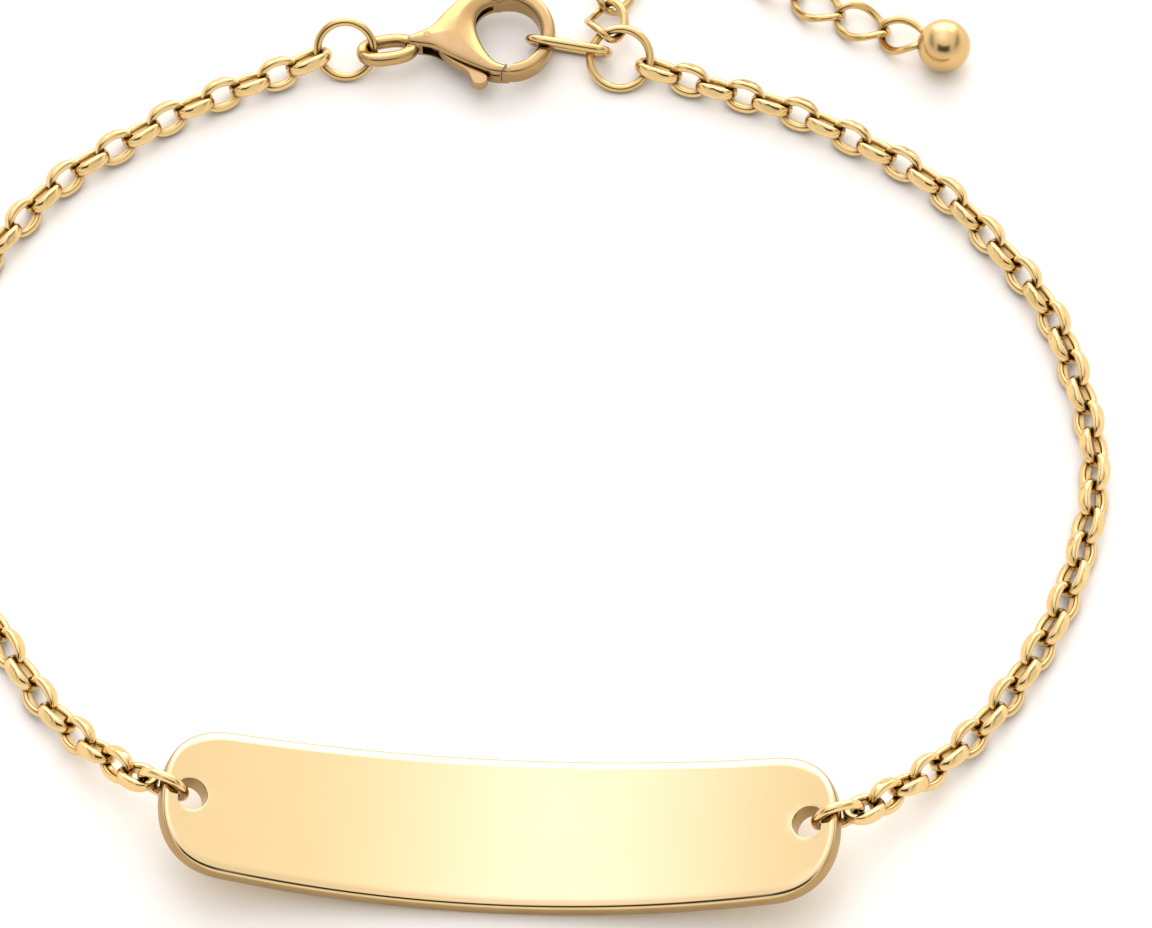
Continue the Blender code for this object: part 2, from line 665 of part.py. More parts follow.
def clasp_hook():
    """The round hook, slimmer towards its tip."""
    bm = bmesh.new()
    rings = []
    for i in range(HOOK_STEPS + 1):
        share = i / HOOK_STEPS
        angle = HOOK_ROOT_ANGLE + (HOOK_TIP_ANGLE - HOOK_ROOT_ANGLE) * share
        middle = Vector((HOOK_HALF_LENGTH * math.cos(angle),
                         HOOK_HALF_WIDTH * math.sin(angle), 0.0))
        outward = Vector((math.cos(angle) / HOOK_HALF_LENGTH,
                          math.sin(angle) / HOOK_HALF_WIDTH, 0.0)).normalized()
        width = HOOK_ROOT_WIDTH + (HOOK_TIP_WIDTH - HOOK_ROOT_WIDTH) * share
        depth = HOOK_ROOT_DEPTH + (HOOK_TIP_DEPTH - HOOK_ROOT_DEPTH) * share
        ring = []
        for k in range(HOOK_SIDES):
            turn = 2 * math.pi * (k + 0.5) / HOOK_SIDES
            out = width / 2 * power(math.cos(turn), 0.7) / math.cos(math.pi / HOOK_SIDES) ** 0.7
            up = depth / 2 * power(math.sin(turn), 0.7) / math.cos(math.pi / HOOK_SIDES) ** 0.7
            ring.append(bm.verts.new(middle + outward * out + Vector((0.0, 0.0, up))))
        rings.append(ring)
    skin_rings(bm, rings, closed=False)
    bm.faces.new(rings[0])
    bm.faces.new(rings[-1])
    return bm


def clasp_tail():
    """The flat oval ring at the clasp's tail."""
    place = (Matrix.Translation((TAIL_CENTRE[0], TAIL_CENTRE[1], 0.0))
             @ Matrix.Rotation(TAIL_TURN, 4, "Z") @ Matrix.Rotation(TAIL_ROLL, 4, "X"))
    bm = bmesh.new()
    grow = 1 / math.cos(math.pi / 8)
    add_oval_link(bm, place, TAIL_LENGTH / 2 - TAIL_BAND / 2, TAIL_WIDTH / 2 - TAIL_BAND / 2,
                  (TAIL_BAND / 2 * grow, TAIL_DEPTH / 2 * grow), 16, 8, 2.4, 0.0, True)
    return bm


def sector(inner, outer, start, end, half_depth):
    """A block between two arcs round the clasp's pivot."""
    points = arc_points(PIVOT_PLACE, outer, start, end, 16)
    points += arc_points(PIVOT_PLACE, inner, end, start, 16)
    return extrude_outline(points, -half_depth, half_depth)


def lever_slot():
    """The space between the flanks, open to the gate side and into the throat."""
    half = LEVER_THICKNESS / 2 + LEVER_GAP
    boss = LEVER_BOSS_RADIUS + LEVER_GAP
    points = arc_points(PIVOT_PLACE, SLOT_REACH, SLOT_FROM, SLOT_TO, 12)
    points += arc_points(PIVOT_PLACE, boss, SLOT_TO, SLOT_FROM + 2 * math.pi, 12)
    return extrude_outline(points, -half, half)


def upright_rod(radius, bottom, top, segments=12):
    outline = arc_points((0.0, 0.0), radius, 0.0, 2 * math.pi, segments)[:-1]
    return extrude_outline(outline, bottom, top)


def build_clasp(finish, parent):
    place = clasp_place()
    pivot = place @ Matrix.Translation((PIVOT_PLACE[0], PIVOT_PLACE[1], 0.0))
    deep = CLASP_DEPTH

    body = add_piece("clasp_body", clasp_slab(), finish, parent, place)
    combine(body, "UNION", make_guide("hook_sweep", clasp_hook(), parent, place))
    combine(body, "DIFFERENCE",
            make_guide("gate_space", sector(GATE_START, GATE_END + GATE_SEAM, GATE_FROM, GATE_TO,
                                            deep), parent, place))
    combine(body, "DIFFERENCE", make_guide("lever_slot", lever_slot(), parent, place))
    combine(body, "UNION", make_guide("tail_ring", clasp_tail(), parent, place))
    combine(body, "DIFFERENCE",
            make_guide("rivet_hole", upright_rod(RIVET_RADIUS + PIVOT_GAP, -deep, deep),
                       parent, pivot))

    gate = make_guide("gate_end", clasp_slab(), parent, place)
    trim = make_guide("gate_trim", sector(GATE_START + GATE_SEAM, GATE_END, GATE_FROM, GATE_TO,
                                          deep), parent, place)
    combine(gate, "INTERSECT", trim)
    boss = arc_points(PIVOT_PLACE, LEVER_BOSS_RADIUS, math.radians(-75), math.radians(-350), 10)
    outline = in_mm(LEVER_OUTLINE) + boss
    centred = [(x - PIVOT_PLACE[0], y - PIVOT_PLACE[1]) for x, y in outline]
    half = LEVER_THICKNESS / 2
    lever = add_piece("clasp_lever", extrude_outline(centred, -half, half), finish, parent, pivot)
    combine(lever, "UNION", gate)
    combine(lever, "DIFFERENCE",
            make_guide("lever_hole", upright_rod(RIVET_RADIUS + PIVOT_GAP, -deep, deep),
                       parent, pivot))

    half = CLASP_DEPTH / 2 - RIVET_SINK
    add_piece("clasp_pivot", upright_rod(RIVET_RADIUS, -half, half), finish, parent, pivot)


def centre_on_origin(parent):
    """Move everything so that the origin is under the middle, on the table."""
    bpy.context.view_layer.update()
    view = bpy.context.evaluated_depsgraph_get()
    low = Vector((math.inf,) * 3)
    high = Vector((-math.inf,) * 3)
    for obj in bpy.data.objects:
        if obj.type != "MESH" or obj.hide_render:
            continue
        shown = obj.evaluated_get(view)
        for vertex in shown.data.vertices:
            point = shown.matrix_world @ vertex.co
            for axis in range(3):
                low[axis] = min(low[axis], point[axis])
                high[axis] = max(high[axis], point[axis])
    parent.location = (-(low.x + high.x) / 2, -(low.y + high.y) / 2, -low.z)


def main():
    clear_scene()
    anklet = bpy.data.objects.new("anklet", None)
    bpy.context.scene.collection.objects.link(anklet)
    build_plate(gold("plate_gold", 0.08), anklet)
    chain_finish = gold("chain_gold", 0.12)
    build_plate_links(chain_finish, anklet)
    build_chain("chain_right", CHAIN_RIGHT_ROUTE,
                ring_point(RING_RIGHT_PLACE, RING_DIAMETER_RIGHT, CHAIN_RING_ANGLE),
                (CHAIN_ROLL - math.pi / 2, CHAIN_ROLL), 1, chain_finish, anklet)
    build_chain("chain_left", CHAIN_LEFT_ROUTE,
                ring_point(RING_LEFT_PLACE, RING_DIAMETER_LEFT, math.radians(197)),
                (math.pi / 2 - CHAIN_ROLL, -CHAIN_ROLL), -1, chain_finish, anklet)
    ring_finish = gold("ring_gold", 0.1)
    build_rings(ring_finish, anklet)
    build_connector(ring_finish, anklet)
    build_extender(ring_finish, gold("ball_gold", 0.12), anklet)
    build_clasp(gold("clasp_gold", 0.2), anklet)
    centre_on_origin(anklet)


main()
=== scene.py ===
# Gold name anklet on a pale studio table, dressed over its plain solids: a blank
# curved plate, two cable chains, a lobster clasp with its rings and connector,
# and a short extender chain that ends in a ball.

import math
import random

import bmesh
import bpy
from mathutils import Matrix, Vector, geometry, kdtree


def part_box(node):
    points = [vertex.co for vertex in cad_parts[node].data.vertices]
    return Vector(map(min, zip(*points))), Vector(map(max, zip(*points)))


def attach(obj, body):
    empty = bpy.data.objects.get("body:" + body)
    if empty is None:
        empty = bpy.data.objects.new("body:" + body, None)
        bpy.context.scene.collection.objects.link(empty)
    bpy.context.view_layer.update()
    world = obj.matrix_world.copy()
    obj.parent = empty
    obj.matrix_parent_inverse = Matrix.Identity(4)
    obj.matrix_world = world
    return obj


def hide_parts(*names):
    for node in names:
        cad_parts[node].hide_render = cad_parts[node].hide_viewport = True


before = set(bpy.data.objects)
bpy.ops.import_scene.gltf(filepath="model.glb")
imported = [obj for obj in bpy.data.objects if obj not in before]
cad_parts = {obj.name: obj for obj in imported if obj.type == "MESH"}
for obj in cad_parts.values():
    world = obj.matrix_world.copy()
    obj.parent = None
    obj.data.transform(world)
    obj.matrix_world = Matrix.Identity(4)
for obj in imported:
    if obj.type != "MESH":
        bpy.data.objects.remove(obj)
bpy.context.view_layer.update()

MM = 0.001
LEFT, RIGHT = -1, 1

# Camera of the photograph
VIEW_ELEVATION = math.radians(61)
VIEW_AZIMUTH = math.radians(2.9)
VIEW_DISTANCE = 420 * MM
VIEW_TARGET = (3.484 * MM, 28.064 * MM)     # from the middle of the plate
LENS = 196.5                    # focal length and sensor width in mm
SENSOR = 36.0
NEAREST_SEEN = 0.01             # in metres
FARTHEST_SEEN = 20.0

# Name plate
PLATE_LENGTH = 44.6 * MM
PLATE_WIDTH = 10.7 * MM
PLATE_BARREL = 0.45 * MM        # how much narrower each long side is at its ends
PLATE_THICKNESS = 1.45 * MM
PLATE_BEND_RADIUS = 59.7 * MM
PLATE_END_DEPTH = 4.6 * MM      # of the rounded ends, which are squarer than a circle
PLATE_END_POWER = 2.4
HOLE_DIAMETER = 2.2 * MM
HOLE_RIM = 0.8 * MM             # of metal outside a hole
HOLE_EDGE_ROUND = 0.06 * MM
PLATE_EDGE_ROUND = 0.45 * MM
PLATE_ROLL_OFF = 1.0 * MM       # width of the soft fall that polishing leaves
PLATE_ROLL_DEPTH = 0.1 * MM
PLATE_FALL_FROM = 0.5           # of the half width, where that fall begins
PLATE_FALL_POWER = 2.6          # how fast it flattens out towards the middle
PLATE_FALL_STEPS = 10
PLATE_TOP_TURN = 0.9            # of a right angle, that the top edge's round turns
PLATE_WALL_SHARE = 0.5          # a face is part of a wall when it leans further than this

# Small faces on the plate's two sides
FACE_SPACING = 0.6 * MM
FACE_GAP = 0.3 * MM             # left clear along the outline and round the holes
FACE_END_GAP = 0.5 * MM         # along the outline of the plate's round ends
FACE_END_FROM = 0.62            # of an end's depth, where that wider gap begins
FACE_END_REACH = 2.6 * MM       # how far across the small faces go in the ends
FACE_MERGE = 1e-9               # points closer than this are one

# Cable chain
LINK_BITE = 0.05 * MM           # how far the solids' links press into each other
CHAIN_LINK_LENGTH = 2.97 * MM
CHAIN_LINK_WIDTH = 2.32 * MM
CHAIN_WIRE_RADIUS = 0.29 * MM
CHAIN_SIDE_RADIUS = 0.31 * MM   # half the wire's width along a link's sides
CHAIN_SIDE_DEPTH = 0.44 * MM    # and half its depth there, where it is hammered flat
CHAIN_SIDE_CUT = 0.05 * MM      # taken flat off the outside of each side
CHAIN_WIRE_SQUARENESS = 3.0
CHAIN_INNER_SHARE = 0.9         # of the wire's width, on the inner side of a link
CHAIN_ROLL = math.radians(54)
CHAIN_END_TURN = math.radians(31)       # more roll to cross the plate's link
CHAIN_END_LINKS = 3             # over which that roll comes
CHAIN_FIRST_EXTRA = 0.45 * MM   # more length of the link that hangs in the ring
CHAIN_HANG_GAP = 0.19 * MM      # between that link and the ring's wire
CHAIN_ANGLE_LEFT = math.radians(197)    # round each jump ring, where its chain hangs
CHAIN_ANGLE_RIGHT = math.radians(-14)
CHAIN_SOLID_STEPS = 10          # round a link of the solids and round its wire,
CHAIN_SOLID_SIDES = 5           # which give the pitch of the chain
CHAIN_SQUARENESS = 2.2
LINK_REST = 0.01 * MM           # lowest that a worn link's underside reaches
CHAIN_SWAY = math.radians(4)    # of one link from the next, as they lie
CHAIN_SWAY_SEED = 7
CHAIN_SIDE_TURN = math.radians(9)       # more roll where the chain runs towards the plate

# Links through the plate's holes
PLATE_LINK_PLAY = 0.15 * MM     # clear of the plate's rim all round
PLATE_LINK_STRETCH = 1.18
PLATE_LINK_PULL = 0.4 * MM      # outwards, by the chain
PLATE_LINK_WIRE_RADIUS = 0.31 * MM
PLATE_LINK_SQUARENESS = 2.2
PLATE_LINK_WIRE_SQUARENESS = 2.3
PLATE_LINK_INNER_SHARE = 0.85
PLATE_LINK_TURN = math.radians(22)
PLATE_LINK_DIP = math.radians(20)

# Jump rings
RING_DIAMETER_LEFT = 4.5 * MM
RING_DIAMETER_RIGHT = 4.75 * MM
RING_WIRE_RADIUS = 0.30 * MM
RING_TILT_LEFT = math.radians(45)
RING_TILT_RIGHT = math.radians(26)
RING_CENTRE_LEFT = (-14.0 * MM, 58.98 * MM)
RING_CENTRE_RIGHT = (4.94 * MM, 59.5 * MM)

# Connector link
CONNECTOR_LENGTH = 6.12 * MM
CONNECTOR_WIDTH = 3.5 * MM
CONNECTOR_WIRE_RADIUS = 0.31 * MM
CONNECTOR_SQUARENESS = 3.6
CONNECTOR_CENTRE = (1.37 * MM, 60.1 * MM)
CONNECTOR_TURN = math.radians(-8)
CONNECTOR_LEAN = math.radians(27)

# Lobster clasp, in its own frame: X from tail to hook, Z through its depth
CLASP_TURN = math.radians(7.3)
CLASP_CENTRE = (-2.75 * MM, 60.7 * MM)
CLASP_MID_HEIGHT = 1.62 * MM
CLASP_DEPTH = 2.2 * MM
CLASP_PILLOW_EDGE = 0.6         # thickness at the rim, as a share of the middle's
CLASP_PILLOW_REACH = 2.3 * MM   # from the rim to where the face is full
CLASP_OUTLINE_STEPS = 6         # between two of the outline's points, which are in mm
CLASP_RIM_STEPS = 4             # between those steps, where the rim is measured from
CLASP_SHOULDER = (
    (-7.12, -0.12), (-7.0, 0.1), (-6.5, 0.36), (-5.7, 0.66), (-5.1, 1.10), (-4.4, 1.88),
    (-3.5, 2.72), (-2.5, 3.35), (-1.4, 3.62), (-0.4, 3.66),
)
CLASP_THROAT = (
    (-0.4, 2.48), (-1.1, 2.36), (-1.75, 2.02), (-2.2, 1.42), (-2.32, 0.6),
    (-2.15, -0.5), (-1.78, -1.5), (-1.2, -2.36), (-0.3, -2.84),
)
CLASP_GATE = (
    (-0.3, -3.46), (-1.5, -3.26), (-2.6, -2.7), (-3.9, -1.9), (-4.9, -1.2),
    (-5.5, -0.84), (-6.1, -0.68), (-6.7, -0.54), (-7.12, -0.42),
)
GATE_GROOVE_FROM = (-0.94, -3.41)    # the dark line along the outside of the gate
GATE_GROOVE_TO = (-3.0, -2.5)
GATE_GROOVE_HEIGHT = (0.2 * MM, 0.36 * MM)
GATE_GROOVE_REACH = 0.3             # into the gate and out of it, in mm
HOOK_WEDGE = ((-1.0, -3.6), (-0.75, -1.95), (0.93, -1.95))    # opens the gap at its tip
ROOT_SLOT = (                   # the dark slot in the inner wall at the hook's root
    (-2.3, 1.0), (-1.65, 1.75), (-1.0, 2.05), (-0.95, 2.52), (-1.6, 2.5), (-2.5, 1.6),
)
ROOT_SLOT_HALF = 0.3 * MM
HOOK_HALF_LENGTH = 2.65 * MM
HOOK_HALF_WIDTH = 3.02 * MM
HOOK_ROOT_ANGLE = math.radians(108)
HOOK_TIP_ANGLE = math.radians(-101)
HOOK_ROOT_WIDTH = 1.18 * MM
HOOK_TIP_WIDTH = 0.9 * MM
HOOK_ROOT_DEPTH = 2.1 * MM
HOOK_TIP_DEPTH = 1.5 * MM
HOOK_ROUNDNESS = 0.55           # of its section: 1 is an ellipse, less is squarer
HOOK_ROOT_SINK = 0.16           # share of its depth that the root starts below full
HOOK_ROOT_BLEND = 0.17          # of its run, over which it comes to full depth
TAIL_CENTRE = (-8.48 * MM, -0.5 * MM)
TAIL_LENGTH = 4.36 * MM
TAIL_WIDTH = 2.95 * MM
TAIL_BAND = 0.95 * MM
TAIL_DEPTH = 0.9 * MM
TAIL_SQUARENESS = 2.4
TAIL_BAND_SQUARENESS = 2.6
TAIL_TURN = math.radians(5)
TAIL_ROLL = math.radians(-20)
CLASP_GRAIN = 0.07 * MM         # cell of the casting's mesh
LEVER_GRAIN = 0.7 * CLASP_GRAIN
CAST_SOFTENING = 7              # passes that round a casting's edges
CAST_SOFTNESS = 0.5             # of each pass
CAST_SHARP_ANGLE = math.radians(42)

# Clasp lever and its rivet
PIVOT_PLACE = (-5.72 * MM, 0.0)
PIVOT_GAP = 0.05 * MM
RIVET_RADIUS = 0.25 * MM
RIVET_SINK = 0.012 * MM         # below the surface that it is polished down with
LEVER_THICKNESS = 0.8 * MM
LEVER_GAP = 0.07 * MM
LEVER_BOSS_RADIUS = 0.4 * MM
LEVER_BOSS_FROM = math.radians(-75)
LEVER_BOSS_TO = math.radians(-378)
LEVER_OUTLINE_STEPS = 4
GATE_START = 4.72 * MM
GATE_END = 5.93 * MM
GATE_SEAM = 0.02 * MM
GATE_ROOT_SEAM = 0.006 * MM
SLOT_REACH = 4.78 * MM
SLOT_FROM = math.radians(-118)
SLOT_TO = math.radians(9)
GATE_FROM = math.radians(-62)
GATE_TO = math.radians(-3)
LEVER_OUTLINE = (
    (-2.5, -0.95), (-1.95, -1.6), (-1.42, -2.35), (-1.45, -2.95), (-2.1, -2.85),
    (-1.82, -3.22), (-1.78, -3.6),
    (-2.0, -3.9), (-2.42, -4.0), (-2.8, -3.8), (-2.96, -3.36), (-3.1, -2.95),
    (-3.5, -2.5), (-4.1, -2.02), (-4.7, -1.4), (-5.15, -0.75),
)

# Extender chain and end ball
EXTENDER_HANG_GAP = 0.08 * MM
EXTENDER_LINKS = 8
EXTENDER_LINK_LENGTH = 4.25 * MM
EXTENDER_LINK_WIDTH = 3.0 * MM
EXTENDER_WIRE_RADIUS = 0.25 * MM
EXTENDER_SIDE_RADIUS = 0.31 * MM    # its links are a little flattened too
EXTENDER_SOLID_STEPS = 12       # as for the cable chain
EXTENDER_SOLID_SIDES = 6
EXTENDER_ANGLE = math.radians(121)      # round the right ring, where it hangs
EXTENDER_SETTLE = 0.62          # of its links' lean that holds them off the table
EXTENDER_TWIST = math.radians(-90)      # of a link, from end to end
BALL_RADIUS = 1.85 * MM
BALL_SINK = 0.8 * MM            # how far its link reaches into it

# Routes of the chains: x and y in mm from the middle of the plate, and lift in mm
ROUTE_STEPS = 16                # of the smooth curve, between two points
CHAIN_RIGHT_ROUTE = (
    (10.4, 57.9, 0.0), (14.35, 56.8, 0.0), (18.2, 55.45, 0.0), (21.45, 53.8, 0.0),
    (24.8, 52.0, 0.0), (27.75, 49.8, 0.0), (30.2, 47.1, 0.0), (32.1, 44.75, 0.0),
    (34.15, 42.1, 0.0), (35.65, 39.0, 0.0), (36.75, 35.6, 0.0), (37.65, 32.3, 0.0),
    (38.05, 28.75, 0.0), (37.8, 25.4, 0.0), (37.15, 22.3, 0.0), (36.3, 19.3, 0.0),
    (35.2, 16.5, 0.0), (33.85, 13.85, 0.0), (32.2, 11.1, 0.0), (30.2, 8.4, 0.1),
    (27.6, 5.55, 0.8), (25.4, 3.35, 2.1),
)
CHAIN_LEFT_ROUTE = (
    (-17.9, 57.45, 0.1), (-20.6, 56.2, 0.0), (-22.65, 55.15, 0.0), (-25.8, 53.3, 0.0),
    (-28.6, 51.1, 0.0), (-31.4, 49.1, 0.0), (-33.7, 46.6, 0.0), (-35.8, 43.6, 0.0),
    (-37.85, 40.2, 0.0), (-39.15, 36.2, 0.0), (-39.65, 31.9, 0.0), (-39.55, 27.6, 0.0),
    (-38.75, 23.2, 0.0), (-37.45, 19.1, 0.0), (-35.5, 15.5, 0.0), (-33.6, 12.8, 0.0),
    (-32.15, 10.5, 0.0), (-29.9, 7.5, 0.1), (-27.35, 4.95, 0.8), (-25.0, 2.75, 2.1),
)
EXTENDER_ROUTE = (
    (3.6, 62.5, 0.6), (3.9, 64.3, 0.1), (5.2, 67.2, 0.0), (8.0, 69.0, 0.0),
    (11.5, 69.0, 0.0), (14.5, 67.4, 0.0), (17.2, 65.5, 0.0), (20.2, 64.0, 0.0),
    (23.6, 62.7, 0.0), (26.8, 61.6, 0.0),
)

# Table
TABLE_HALF = 1.2                # in metres, as the lamp's sizes are
TABLE_CELLS = 24
TABLE_GAP = 0.002 * MM          # below the plate
TABLE_TINTS = ((0.95, 0.905, 0.83), (0.96, 0.925, 0.86))
PAPER_TOOTH = 0.8 * MM

# Lamp over the anklet, for a soft shadow
LAMP_AZIMUTH = math.radians(-15)        # 0 is behind the anklet, seen from the camera
LAMP_ELEVATION = math.radians(74)
LAMP_DISTANCE = 0.8
LAMP_WIDTH = 0.3
LAMP_HEIGHT = 0.24
LAMP_RADIANCE = 1.6
LAMP_COLOUR = (1.0, 0.985, 0.96)
LAMP_AIM = 30 * MM              # from the middle of the plate towards the clasp

# Studio walls that the gold mirrors. A pair of numbers is where a light or shade sets
# in and where it is full, on a direction's part sideways, away from the camera or up
STUDIO_LEVEL = 1.32
WALL_LIGHT = 0.74
WALL_COLOUR = (1.0, 0.985, 0.965)
OVERHEAD_LIGHT = 0.16
OVERHEAD_UP = (0.55, 0.95)
FAR_SIDE_LIGHT = 0.2
FAR_SIDE_AWAY = (-0.2, 0.5)
HAZE_LIGHT = 0.2
HAZE_UP = (0.0, 0.4)
GLOW_LIGHT = 0.36               # the soft bright patch that the plate shows
GLOW_COLOUR = (1.0, 1.0, 1.26)
GLOW_SIDE = 0.155               # to the left of straight away
GLOW_REACH = (0.0, 0.53)
GLOW_UP = (0.6, 0.84)
GLOW_AWAY = (-0.45, 0.1)
FAR_LIGHT = 2.0                 # low behind the anklet
FAR_LIGHT_SLOPE = (0.68, 1.15)  # away by up
FAR_LIGHT_UP = (0.02, 0.2)
FAR_LIGHT_SPREAD = (0.14, 0.36)         # sideways, squared
LEAST_UP = 0.02                 # keeps that slope from a division by nothing
BAND_SHADE = 0.55               # a grey band on each side
BAND_SPREAD = (0.36, 0.62)      # sideways, squared
BAND_BOTTOM = (0.34, 0.5)
BAND_TOP = (0.66, 0.8)
NEAR_SHADE = 0.95               # the dark on the camera's side
NEAR_TOWARDS = (0.28, 0.46)
NEAR_BOTTOM = (0.4, 0.54)
NEAR_TOP = (0.78, 0.86)
NEAR_LEFT = (-0.6, -0.38)
NEAR_RIGHT = (0.3, 0.54)

# The middle of the plate in the model's frame
plate_low, plate_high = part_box("name_plate")
PLATE_MIDDLE = Vector(((plate_low.x + plate_high.x) / 2,
                       (plate_low.y + plate_high.y) / 2, plate_low.z))
TO_MODEL = Matrix.Translation(PLATE_MIDDLE)


# Materials


class Signal:
    """One output of a finish's nodes, which can be reckoned with like a number."""

    def __init__(self, nodes, socket):
        self.nodes = nodes
        self.socket = socket

    def maths(self, operation, *values):
        return self.nodes.node("ShaderNodeMath", {"operation": operation},
                               dict(enumerate(values)))

    def __add__(self, other):
        return self.maths("ADD", self, other)

    def __radd__(self, other):
        return self.maths("ADD", other, self)

    def __sub__(self, other):
        return self.maths("SUBTRACT", self, other)

    def __rsub__(self, other):
        return self.maths("SUBTRACT", other, self)

    def __mul__(self, other):
        return self.maths("MULTIPLY", self, other)

    def __rmul__(self, other):
        return self.maths("MULTIPLY", other, self)

    def __truediv__(self, other):
        return self.maths("DIVIDE", self, other)

    def __rtruediv__(self, other):
        return self.maths("DIVIDE", other, self)

    def __abs__(self):
        return self.maths("ABSOLUTE", self)

    def most(self, other):
        return self.maths("MAXIMUM", self, other)


class Nodes:
    """The nodes of one material or of the studio's surroundings."""

    def __init__(self, owner):
        owner.use_nodes = True
        self.tree = owner.node_tree
        self.tree.nodes.clear()

    def node(self, kind, settings=None, sockets=None, output=0):
        made = self.tree.nodes.new(kind)
        for name, value in (settings or {}).items():
            setattr(made, name, value)
        for name, value in (sockets or {}).items():
            if isinstance(value, Signal):
                self.tree.links.new(value.socket, made.inputs[name])
            else:
                made.inputs[name].default_value = value
        return Signal(self, made.outputs[output]) if len(made.outputs) else None

    def noise(self, place, size, detail, roughness=0.5):
        """Cloudy values from 0 to 1, about one cloud to a size in metres."""
        return self.node("ShaderNodeTexNoise", None,
                         {"Vector": place, "Scale": 1 / size, "Detail": detail,
                          "Roughness": roughness})

    def between(self, low, high, value):
        """How far a value is from low to high, from 0 to 1 with soft ends."""
        return self.node("ShaderNodeMapRange", {"interpolation_type": "SMOOTHSTEP"},
                         {"Value": value, "From Min": low, "From Max": high})

    def band(self, bottom, top, value):
        """1 where a value is past the bottom pair and short of the top pair."""
        return self.between(*bottom, value) * (1 - self.between(*top, value))

    def mix(self, share, first, second):
        """A colour on the way from the first to the second."""
        colours = [value if isinstance(value, Signal) else (*value, 1.0)
                   for value in (first, second)]
        return self.node("ShaderNodeMix", {"data_type": "RGBA"},
                         {MIX_SHARE: share, MIX_FIRST: colours[0], MIX_SECOND: colours[1]},
                         output=MIX_COLOUR)


# Places of a colour Mix node's share, two colours and result among its sockets
MIX_SHARE = 0
MIX_FIRST = 6
MIX_SECOND = 7
MIX_COLOUR = 2

# Fine marks that all the golds have. A share is of the cloud's size or of the ripple
TINT_CLOUDS = (0.3, 0.7)        # of their values, from one tint to the other
TINT_FROM_PITS = 0.2            # share of the tint's change that the pits make
HAZE_SIZE_SHARE = 0.45
HAZE_BY_ROUGHNESS = 0.35
WIPE_SIZE = 0.05 * MM
WIPE_STRETCH = (0.35, 1.0, 1.0)
WIPE_DEPTH = 0.002 * MM
PIT_SIZE = 0.16 * MM
PIT_DEPTH_SHARE = 0.06
LEAST_ROUGHNESS = 0.02
# Painted shade: a dark brown mixed into the gold where a surface is hemmed in, for the shade
# in crevices and between touching links
CREVICE_SHADE = (0.145, 0.082, 0.021)
CREVICE_SHADE_OPENNESS = (0.46, 0.92)         # from all painted shade to none
OPENNESS_SAMPLES = 8


def polished_gold(name, colour, deep_colour, roughness, satin, haze_size=2.5 * MM,
                  ripple=0.0, ripple_size=1.2 * MM, brush=0.0, crevice=0.0):
    """Polished gold. The tint drifts a little, the gloss is hazed in soft clouds and
    fine wipe marks, the surface may ripple as hand polishing leaves it, and where
    two wires meet closer than the crevice size, a dark shade is painted into the colour."""
    finish = bpy.data.materials.new(name)
    nodes = Nodes(finish)
    place = nodes.node("ShaderNodeTexCoord", output="Object")
    drift = nodes.noise(place, haze_size, 3.0)
    haze = nodes.noise(place, haze_size * HAZE_SIZE_SHARE, 4.0, 0.6)
    stretched = nodes.node("ShaderNodeVectorMath", {"operation": "MULTIPLY"},
                           {0: place, 1: WIPE_STRETCH})
    marks = nodes.noise(stretched, WIPE_SIZE, 2.0, 0.55)
    pits = nodes.noise(place, PIT_SIZE, 2.0, 0.6)

    clouds = drift * (1 - TINT_FROM_PITS) + pits * TINT_FROM_PITS
    tint = nodes.mix(nodes.between(*TINT_CLOUDS, clouds), colour, deep_colour)
    # Painted shade: the colour darkens towards a dark brown where the surface is hemmed in
    # within the crevice size
    if crevice > 0:
        openness = nodes.node("ShaderNodeAmbientOcclusion", {"samples": OPENNESS_SAMPLES},
                              {"Distance": crevice}, output="AO")
        tint = nodes.mix(nodes.between(*CREVICE_SHADE_OPENNESS, openness), CREVICE_SHADE, tint)
    gloss = (roughness + (haze - 0.5) * (HAZE_BY_ROUGHNESS * roughness + satin)
             + (marks - 0.5) * brush)
    ripples = nodes.noise(place, ripple_size, 1.0, 0.4)
    height = (ripples * ripple + (pits - 0.5) * (ripple * PIT_DEPTH_SHARE)
              + (marks - 0.5) * (brush * WIPE_DEPTH))
    bump = nodes.node("ShaderNodeBump", None,
                      {"Strength": 1.0, "Distance": 1.0, "Height": height})
    shader = nodes.node("ShaderNodeBsdfPrincipled", None,
                        {"Base Color": tint, "Metallic": 1.0,
                         "Roughness": gloss.most(LEAST_ROUGHNESS), "Normal": bump})
    nodes.node("ShaderNodeOutputMaterial", None, {"Surface": shader})
    return finish


# The plate's face, its cut edges in a darker gold that paints the shade on its walls, then
# the links, rings, clasp and ball
PLATE_GOLD = polished_gold(
    "plate_mirror_gold", (0.735, 0.548, 0.292), (0.72, 0.535, 0.28), 0.085, satin=0.015,
    haze_size=6 * MM, ripple=0.00012 * MM, ripple_size=3.5 * MM, brush=0.02)
# Painted shade: the same gold as the face, darkened for the plate's walls and hole sides
PLATE_WALL_SHADE_GOLD = polished_gold(
    "plate_wall_painted_shade_gold", (0.43, 0.285, 0.115), (0.37, 0.24, 0.09), 0.2, satin=0.04,
    haze_size=3 * MM, ripple=0.002 * MM, brush=0.06, crevice=0.8 * MM)
LINK_GOLD = polished_gold(
    "chain_link_gold", (0.79, 0.565, 0.265), (0.73, 0.505, 0.21), 0.12, satin=0.03,
    ripple=0.004 * MM, ripple_size=0.9 * MM, brush=0.03, crevice=0.9 * MM)
RING_GOLD = polished_gold(
    "ring_wire_gold", (0.66, 0.46, 0.20), (0.62, 0.415, 0.165), 0.14, satin=0.03,
    ripple=0.003 * MM, ripple_size=0.8 * MM, brush=0.04, crevice=0.5 * MM)
CLASP_GOLD = polished_gold(
    "clasp_satin_gold", (0.50, 0.33, 0.145), (0.43, 0.275, 0.11), 0.2, satin=0.05,
    ripple=0.004 * MM, ripple_size=1.4 * MM, brush=0.06, crevice=1.2 * MM)
